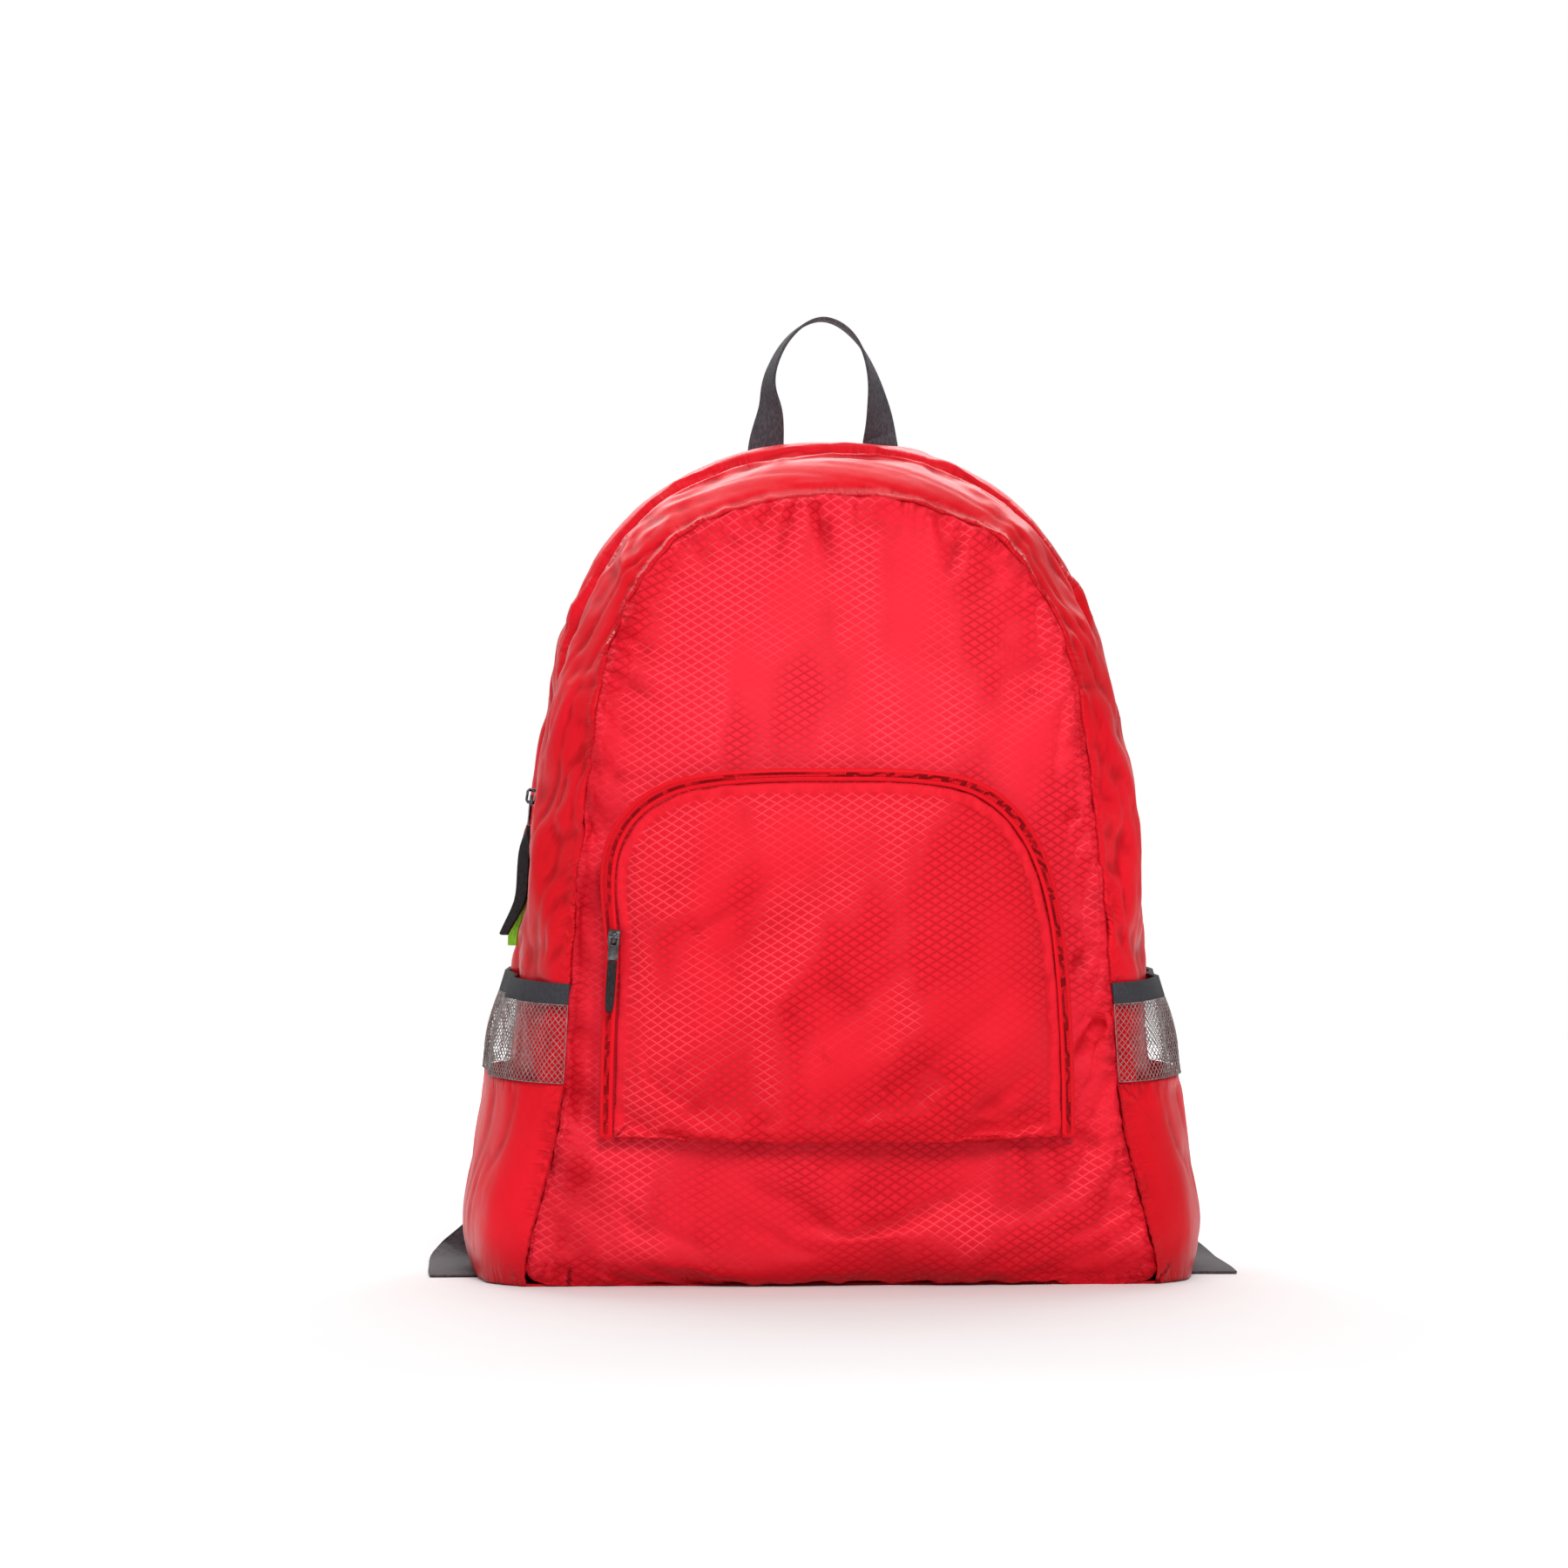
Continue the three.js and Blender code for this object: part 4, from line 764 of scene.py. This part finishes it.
def close_slit(obj, facing, top, reach=7 * MM, widest=8 * MM):
    """Brings a gusset's edge below the zip halfway to the facing gusset's edge, so that they meet."""
    facing_tree = KDTree(len(facing))
    for index, point in enumerate(facing):
        facing_tree.insert(point, index)
    facing_tree.balance()
    rim = [point for point, _ in rim_points(obj)]
    own_tree = KDTree(len(rim))
    for index, point in enumerate(rim):
        own_tree.insert(point, index)
    own_tree.balance()
    for vertex in obj.data.vertices:
        start, _, distance = own_tree.find(vertex.co)
        end, _, gap = facing_tree.find(start)
        if distance < reach and gap < widest:
            share = (1 - smooth_step(0, reach, distance)) * (1 - smooth_step(top, top + 6 * MM, vertex.co.z))
            vertex.co += (end - start) * 0.5 * share
    obj.data.update()


def gusset_cloth(node, name, shift, crest, facing):
    """A side strip of the bag. crest lifts it beside the zip over the bag's top, or lowers it."""
    obj = outer_skin(node, name, from_axis)
    subdivide(obj, 2)
    settle(obj, 0.02, 0.3, 4 * MM)
    subdivide(obj, 1)
    close_slit(obj, facing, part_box("main_zip_chain")[0].z)
    reach = seam_reach(obj)
    heights = []
    for vertex, (distance, run) in zip(obj.data.vertices, reach):
        place = vertex.co
        along = Vector((place.x, place.y * 2.4 + shift, place.z))
        rolls = crumple(along.z + abs(along.x) * 0.6, along.y + along.x * 0.5, 0.036, 1.5 * MM)
        soft = cloth_noise(along, 0.05, 1.2 * MM)
        edge = pucker(run, distance, 1.4 * MM) + tuck(distance, 1.4 * MM, 3 * MM)
        lifted = crest * smooth_step(1 * MM, 9 * MM, distance) * smooth_step(0.28, 0.37, place.z)
        bagged = 1 - smooth_step(POCKET_TOP, POCKET_TOP + 12 * MM, place.z)
        calm = 1 - 0.55 * smooth_step(0.36, 0.41, place.z)
        free = (soft + rolls * calm) * smooth_step(0, 10 * MM, distance) * (1 - 0.7 * bagged)
        heights.append(free + edge + lifted - 1.6 * MM * bagged)
    lift(obj, heights)
    waver(obj, reach)
    note_valleys(obj, 0.16 * MM)
    wall(obj)
    dress(obj, RED_TAFFETA, [node])
    return obj


def base_cloth():
    obj = whole_copy("base_panel", "base_cloth")
    modify(obj, "BEVEL", width=0.4 * MM, segments=2, limit_method="ANGLE")
    clear_of_seams(obj)
    dress(obj, RED_TAFFETA, ["base_panel"])
    return obj


def zip_tape(node, name, outward, material):
    tape = outer_skin(node, name, outward)
    subdivide(tape, 2)
    if outward is to_front:
        square_corner(tape)
    seam_reach(tape)
    wall(tape)
    dress(tape, material, [node])


def square_corner(obj):
    """Spreads the pocket's upper left corner, where the filling pushes it out."""
    for vertex in obj.data.vertices:
        raised = smooth_step(0.16, 0.24, vertex.co.z)
        vertex.co.x -= 15 * MM * raised * smooth_step(0.01, 0.09, -vertex.co.x)
    obj.data.update()


def pocket_cloth():
    """The pocket's panel and the wall above its zip, as one cloth rolled over at the edge."""
    obj = whole_skin("pocket_cloth", to_front, "pocket_panel", "pocket_band")
    subdivide(obj, 2)
    square_corner(obj)
    lay_weave(obj, -0.02)
    settle(obj, 0.016, 0.4, 5 * MM)
    subdivide(obj, 1)
    reach = seam_reach(obj)
    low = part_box("pocket_panel")[0].z
    heights = []
    edges = []
    for vertex, (distance, run) in zip(obj.data.vertices, reach):
        place = vertex.co
        folds = fold_height(POCKET_FOLDS, place.x / MM, place.z / MM)
        soft = cloth_noise(place, 0.04, 0.8 * MM)
        edge = pucker(run, distance, 0.9 * MM, 0.014) + tuck(distance, 0.8 * MM, 3 * MM)
        heights.append((folds + soft) * smooth_step(4 * MM, 18 * MM, distance) + edge)
        foot = smooth_step(2 * MM, 9 * MM, place.z - low)
        edges.append((1 - smooth_step(4.5 * MM, 6.5 * MM, distance)) * foot)
    lift(obj, heights)
    note_valleys(obj, 0.22 * MM)
    obj.data.attributes.new("plain_edge", "FLOAT", "POINT").data.foreach_set("value", edges)
    wall(obj)
    dress(obj, RED_POCKET, ["pocket_panel", "pocket_band"])


def seam_line(node, outward):
    """The points of a CAD wall's sewn edge, close together."""
    sheet = outer_skin(node, "seam_line", outward)
    subdivide(sheet, 2)
    points = [point for point, _ in rim_points(sheet)]
    bpy.data.objects.remove(sheet)
    return points


def meet_seam(obj, seam, reach=26 * MM):
    """Draws a side piece's front edge forward onto the bag's front seam."""
    tree = KDTree(len(seam))
    for index, point in enumerate(seam):
        tree.insert(point, index)
    tree.balance()
    rows = {}
    for vertex in obj.data.vertices:
        row = round(vertex.co.z / (6 * MM))
        rows[row] = min(rows.get(row, 1.0), vertex.co.y)
    edge = []
    for vertex in obj.data.vertices:
        row = round(vertex.co.z / (6 * MM))
        foremost = min(rows.get(row + step, 1.0) for step in range(-2, 3))
        if vertex.co.y < foremost + 2.2 * MM:
            edge.append(vertex.co.copy())
    near = KDTree(len(edge))
    for index, point in enumerate(edge):
        near.insert(point, index)
    near.balance()
    for vertex in obj.data.vertices:
        start, _, distance = near.find(vertex.co)
        end, _, gap = tree.find(start)
        pull = (end - start) * max(0.0, 1 - 0.6 * MM / gap)
        vertex.co += Vector((pull.x, pull.y, 0)) * (1 - smooth_step(0, reach, distance))
    obj.data.update()


def side_pocket(name, side, seam):
    cloth = outer_skin(f"side_cloth_{name}", f"side_cloth_{name}_sewn", to_side(side))
    subdivide(cloth, 3)
    meet_seam(cloth, seam)
    for vertex in cloth.data.vertices:
        vertex.co.z -= 2 * MM * (1 - smooth_step(3 * MM, 16 * MM, vertex.co.z))
    reach = seam_reach(cloth)
    heights = []
    for vertex, (distance, run) in zip(cloth.data.vertices, reach):
        place = vertex.co
        rolls = crumple(place.z * 0.5, place.y + place.z * 0.25, 0.028, 1.8 * MM) * smooth_step(0, 25 * MM, place.z)
        soft = cloth_noise(place, 0.03, 1.2 * MM)
        edge = pucker(run, distance, 0.9 * MM)
        heights.append((soft + rolls) * smooth_step(0, 10 * MM, distance) + edge)
    lift(cloth, heights)
    note_valleys(cloth, 0.2 * MM)
    wall(cloth)
    dress(cloth, RED_TAFFETA, [f"side_cloth_{name}"])

    elastic = whole_copy(f"side_elastic_{name}", f"side_elastic_{name}_ribbed")
    meet_seam(elastic, seam)
    modify(elastic, "BEVEL", width=0.5 * MM, segments=2, limit_method="ANGLE", angle_limit=math.radians(40))
    dress(elastic, ELASTIC, [f"side_elastic_{name}"])

    net = outer_skin(f"side_mesh_{name}", f"side_net_{name}", to_side(side))
    meet_seam(net, seam)
    knit_net(net, side)
    dress(net, NET, [f"side_mesh_{name}"])


def marked_line(points, count):
    """A smooth line through the points, as count equal steps."""
    fine = []
    last = len(points) - 1
    for index in range(last):
        start, end = points[index], points[index + 1]
        reach = (end - start).length / 3
        out = (end - points[max(0, index - 1)]).normalized() * reach
        back = (points[min(last, index + 2)] - start).normalized() * reach
        fine += interpolate_bezier(start, start + out, end - back, end, 12)[: None if index == last - 1 else -1]
    runs = [0.0]
    for first, second in zip(fine, fine[1:]):
        runs.append(runs[-1] + (second - first).length)
    marks = []
    for step in range(count + 1):
        place = runs[-1] * step / count
        index = min(bisect_right(runs, place), len(runs) - 1)
        share = (place - runs[index - 1]) / (runs[index] - runs[index - 1])
        marks.append(fine[index - 1].lerp(fine[index], share))
    return marks


def knit_net(obj, side, wide=3.0 * MM, tall=3.7 * MM):
    """Makes an open net of crossed threads over a gridded sheet, gathered into soft upright folds."""
    points = sorted((vertex.co.copy() for vertex in obj.data.vertices), key=lambda place: place.z)
    size = len(points) // NET_ROWS
    rows = [sorted(points[start : start + size], key=lambda place: place.y) for start in range(0, len(points), size)]
    length = sum((second - first).length for first, second in zip(rows[0], rows[0][1:]))
    height = (rows[-1][0] - rows[0][0]).length
    across, up = 2 * round(length / wide), 2 * round(height / tall)
    lines = [marked_line(row, across) for row in rows]
    columns = [marked_line(list(column), up) for column in zip(*lines)]
    mesh = bmesh.new()
    knots = {}
    for i, column in enumerate(columns):
        for j, place in enumerate(column):
            if (i + j) % 2 == 0:
                sway = math.sin(i * 0.36 + 0.5 * noise.noise(place / 0.05))
                fold = sway * math.sin(math.pi * j / up) * smooth_step(0, 8, i)
                knots[i, j] = mesh.verts.new(place + Vector((side * 1.0 * MM * fold, 0, 0)))
    for i in range(across + 1):
        for j in range(up + 1):
            if (i + j) % 2 == 1:
                around = [(i - side, j), (i, j - 1), (i + side, j), (i, j + 1)]
                corners = [knots[key] for key in around if key in knots]
                if len(corners) > 2:
                    mesh.faces.new(corners)
    mesh.to_mesh(obj.data)
    mesh.free()
    modify(obj, "WIREFRAME", thickness=0.5 * MM, use_boundary=True, use_even_offset=False)


def round_copy(node, name, width, levels, material, body="bag"):
    """A merged copy of a CAD node with softened edges."""
    obj = whole_copy(node, name)
    modify(obj, "BEVEL", width=width, segments=2, limit_method="ANGLE", angle_limit=math.radians(40))
    if levels:
        subdivide(obj, levels)
    if material is RED_TAFFETA:
        clear_of_seams(obj)
    dress(obj, material, [node], body)
    return obj


def crown(obj, node, high=1.6 * MM):
    """Rounds a padded strap up from its bound edges, and keeps the distance from them for the material."""
    rough = whole_copy(node, "strap_edges")
    mesh = bmesh.new()
    mesh.from_mesh(rough.data)
    mesh.normal_update()
    sharp = [edge for edge in mesh.edges if edge.calc_face_angle(0) > math.radians(40)]
    points = [edge.verts[0].co.lerp(edge.verts[1].co, step / 6) for edge in sharp for step in range(7)]
    mesh.free()
    bpy.data.objects.remove(rough)
    tree = KDTree(len(points))
    for index, point in enumerate(points):
        tree.insert(point, index)
    tree.balance()
    reach = [tree.find(vertex.co)[2] for vertex in obj.data.vertices]
    lift(obj, [high * smooth_step(2 * MM, 13 * MM, distance) for distance in reach])
    layer = obj.data.uv_layers.new(name="seam")
    for loop in obj.data.loops:
        layer.data[loop.index].uv = (obj.data.vertices[loop.vertex_index].co.z / MM, reach[loop.vertex_index] / MM)


def webbing_and_straps():
    round_copy("haul_loop", "haul_loop_web", 0.35 * MM, 2, GREY_WEB)
    for name in SIDES:
        strap = round_copy(f"shoulder_strap_{name}", f"shoulder_strap_{name}_web", 0.8 * MM, 2, STRAP)
        crown(strap, f"shoulder_strap_{name}")
        round_copy(f"lower_webbing_{name}", f"lower_webbing_{name}_web", 0.3 * MM, 1, GREY_TAIL)
        round_copy(f"ladder_lock_{name}", f"ladder_lock_{name}_moulded", 0.6 * MM, 0, BLACK_PLASTIC)
        round_copy(f"anchor_tab_{name}", f"anchor_tab_{name}_sewn", 0.3 * MM, 0, RED_TAFFETA)


def middle_line(obj, steps=10):
    """The middle of a hanging strip at even heights, from its foot up."""
    low = min(vertex.co.z for vertex in obj.data.vertices)
    high = max(vertex.co.z for vertex in obj.data.vertices)
    middles = []
    for step in range(steps + 1):
        level = blend_between(low, high, step / steps)
        near = [v.co for v in obj.data.vertices if abs(v.co.z - level) < 0.7 * (high - low) / steps]
        if near:
            middles.append(sum(near, Vector()) / len(near))
    return middles


def twist(obj, middles, turn):
    """Turns a hanging strip about its own middle, more and more below its top."""
    low, high = middles[0].z, middles[-1].z
    for vertex in obj.data.vertices:
        height = min(max(vertex.co.z, low), high - 1e-6)
        index = next(i for i in range(1, len(middles)) if middles[i].z > height)
        share = (height - middles[index - 1].z) / (middles[index].z - middles[index - 1].z)
        centre = middles[index - 1].lerp(middles[index], share)
        angle = turn * smooth_step(0, 14 * MM, high - vertex.co.z)
        offset = Vector((vertex.co.x - centre.x, vertex.co.y - centre.y, 0))
        turned = Matrix.Rotation(angle, 3, "Z") @ offset
        vertex.co = Vector((centre.x + turned.x, centre.y + turned.y, vertex.co.z))
    obj.data.update()


def zip_pulls():
    round_copy("main_zip_slider", "main_slider_metal", 0.25 * MM, 0, DARK_METAL)
    round_copy("main_zip_tab", "main_tab_metal", 0.2 * MM, 0, DARK_METAL, "main_pull")
    strip = round_copy("main_zip_strip", "main_strip_black", 0.3 * MM, 1, PULL_BLACK, "main_pull")
    tip = round_copy("main_zip_tip", "main_tip_lime", 0.2 * MM, 1, LIME, "main_pull")
    middles = middle_line(strip)
    twist(strip, middles, math.radians(50))
    twist(tip, middles, math.radians(50))
    round_copy("pocket_zip_slider", "pocket_slider_metal", 0.2 * MM, 0, DARK_METAL)
    round_copy("pocket_zip_tab", "pocket_tab_metal", 0.15 * MM, 0, DARK_METAL, "pocket_pull")
    round_copy("pocket_zip_strip", "pocket_strip_black", 0.2 * MM, 1, PULL_BLACK, "pocket_pull")


# Stage


def add_camera():
    forward = Vector((-math.sin(VIEW_TURN), math.cos(VIEW_TURN), 0))
    right = Vector((math.cos(VIEW_TURN), math.sin(VIEW_TURN), 0))
    place = right * VIEW_SIDE + Vector((0, 0, VIEW_HEIGHT)) - forward * VIEW_DISTANCE
    bpy.ops.object.camera_add(location=place, rotation=(math.radians(90), 0, VIEW_TURN))
    camera = bpy.context.object
    camera.data.lens = LENS
    camera.data.sensor_width = 36
    bpy.context.scene.camera = camera


def add_light(name, place, target, size, power):
    aim = (Vector(target) - Vector(place)).to_track_quat("-Z", "Y").to_euler()
    bpy.ops.object.light_add(type="AREA", location=place, rotation=aim)
    light = bpy.context.object
    light.name = name
    light.data.shape = "RECTANGLE"
    light.data.size, light.data.size_y = size
    light.data.energy = power


def add_stage():
    world = bpy.data.worlds.new("studio")
    world.use_nodes = True
    sky = Wire(world.node_tree)
    background = next(node for node in world.node_tree.nodes if node.type == "BACKGROUND")
    away = sky.node("ShaderNodeVectorMath", {"operation": "DOT_PRODUCT"},
                    {0: sky.node("ShaderNodeTexCoord"), 1: (0, 1, 0)}, output=1)
    sky.join(background.inputs["Color"], away.smooth(0.86, 0.95).mix((0.4, 0.4, 0.4, 1), (1, 1, 1, 1)))
    bpy.context.scene.world = world

    bpy.ops.mesh.primitive_plane_add(size=1, location=(0, 0, 0))
    floor = bpy.context.object
    floor.name = "floor"
    floor.scale = (5.2, 5.2, 1)
    bpy.ops.object.transform_apply(location=True, rotation=True, scale=True)
    material, wire, shader = new_material("pale_floor", Roughness=0.9)
    shade = object_noise(wire, 3, 2.0, 0.5)
    wire.join(shader.inputs["Base Color"], shade.mix((0.8, 0.8, 0.8, 1), (0.84, 0.84, 0.84, 1)))
    floor.data.materials.append(material)

    add_light("key", (0.35, -2.8, 2.3), (0, 0, 0.2), (1.1, 1.1), 74)
    add_light("fill", (-2.4, -2.0, 1.3), (0, 0, 0.2), (1.6, 1.6), 12)
    add_light("top", (0, 0.9, 2.4), (0, 0.4, 0), (1.8, 1.4), 16)
    add_light("behind", (0, 2.6, 2.0), (0, 2.2, 0), (4.0, 1.4), 90)


bpy.context.scene.view_settings.view_transform = "Standard"
add_camera()
add_stage()
front_cloth()
back_cloth()
front_edge = seam_line("front_gusset", from_axis)
rear_edge = seam_line("rear_gusset", from_axis)
gusset_cloth("front_gusset", "front_gusset_cloth", 0.0, -2.5 * MM, rear_edge)
gusset_cloth("rear_gusset", "rear_gusset_cloth", 0.7, 6 * MM, front_edge)
base_cloth()
zip_tape("main_zip_chain", "main_zip_tape", from_axis, MAIN_ZIP)
pocket_cloth()
zip_tape("pocket_zip_chain", "pocket_zip_tape", to_front, POCKET_ZIP)
front_seam = seam_line("front_panel", to_front)
for side_name, side_sign in SIDES.items():
    side_pocket(side_name, side_sign, front_seam)
webbing_and_straps()
zip_pulls()

bpy.context.view_layer.update()
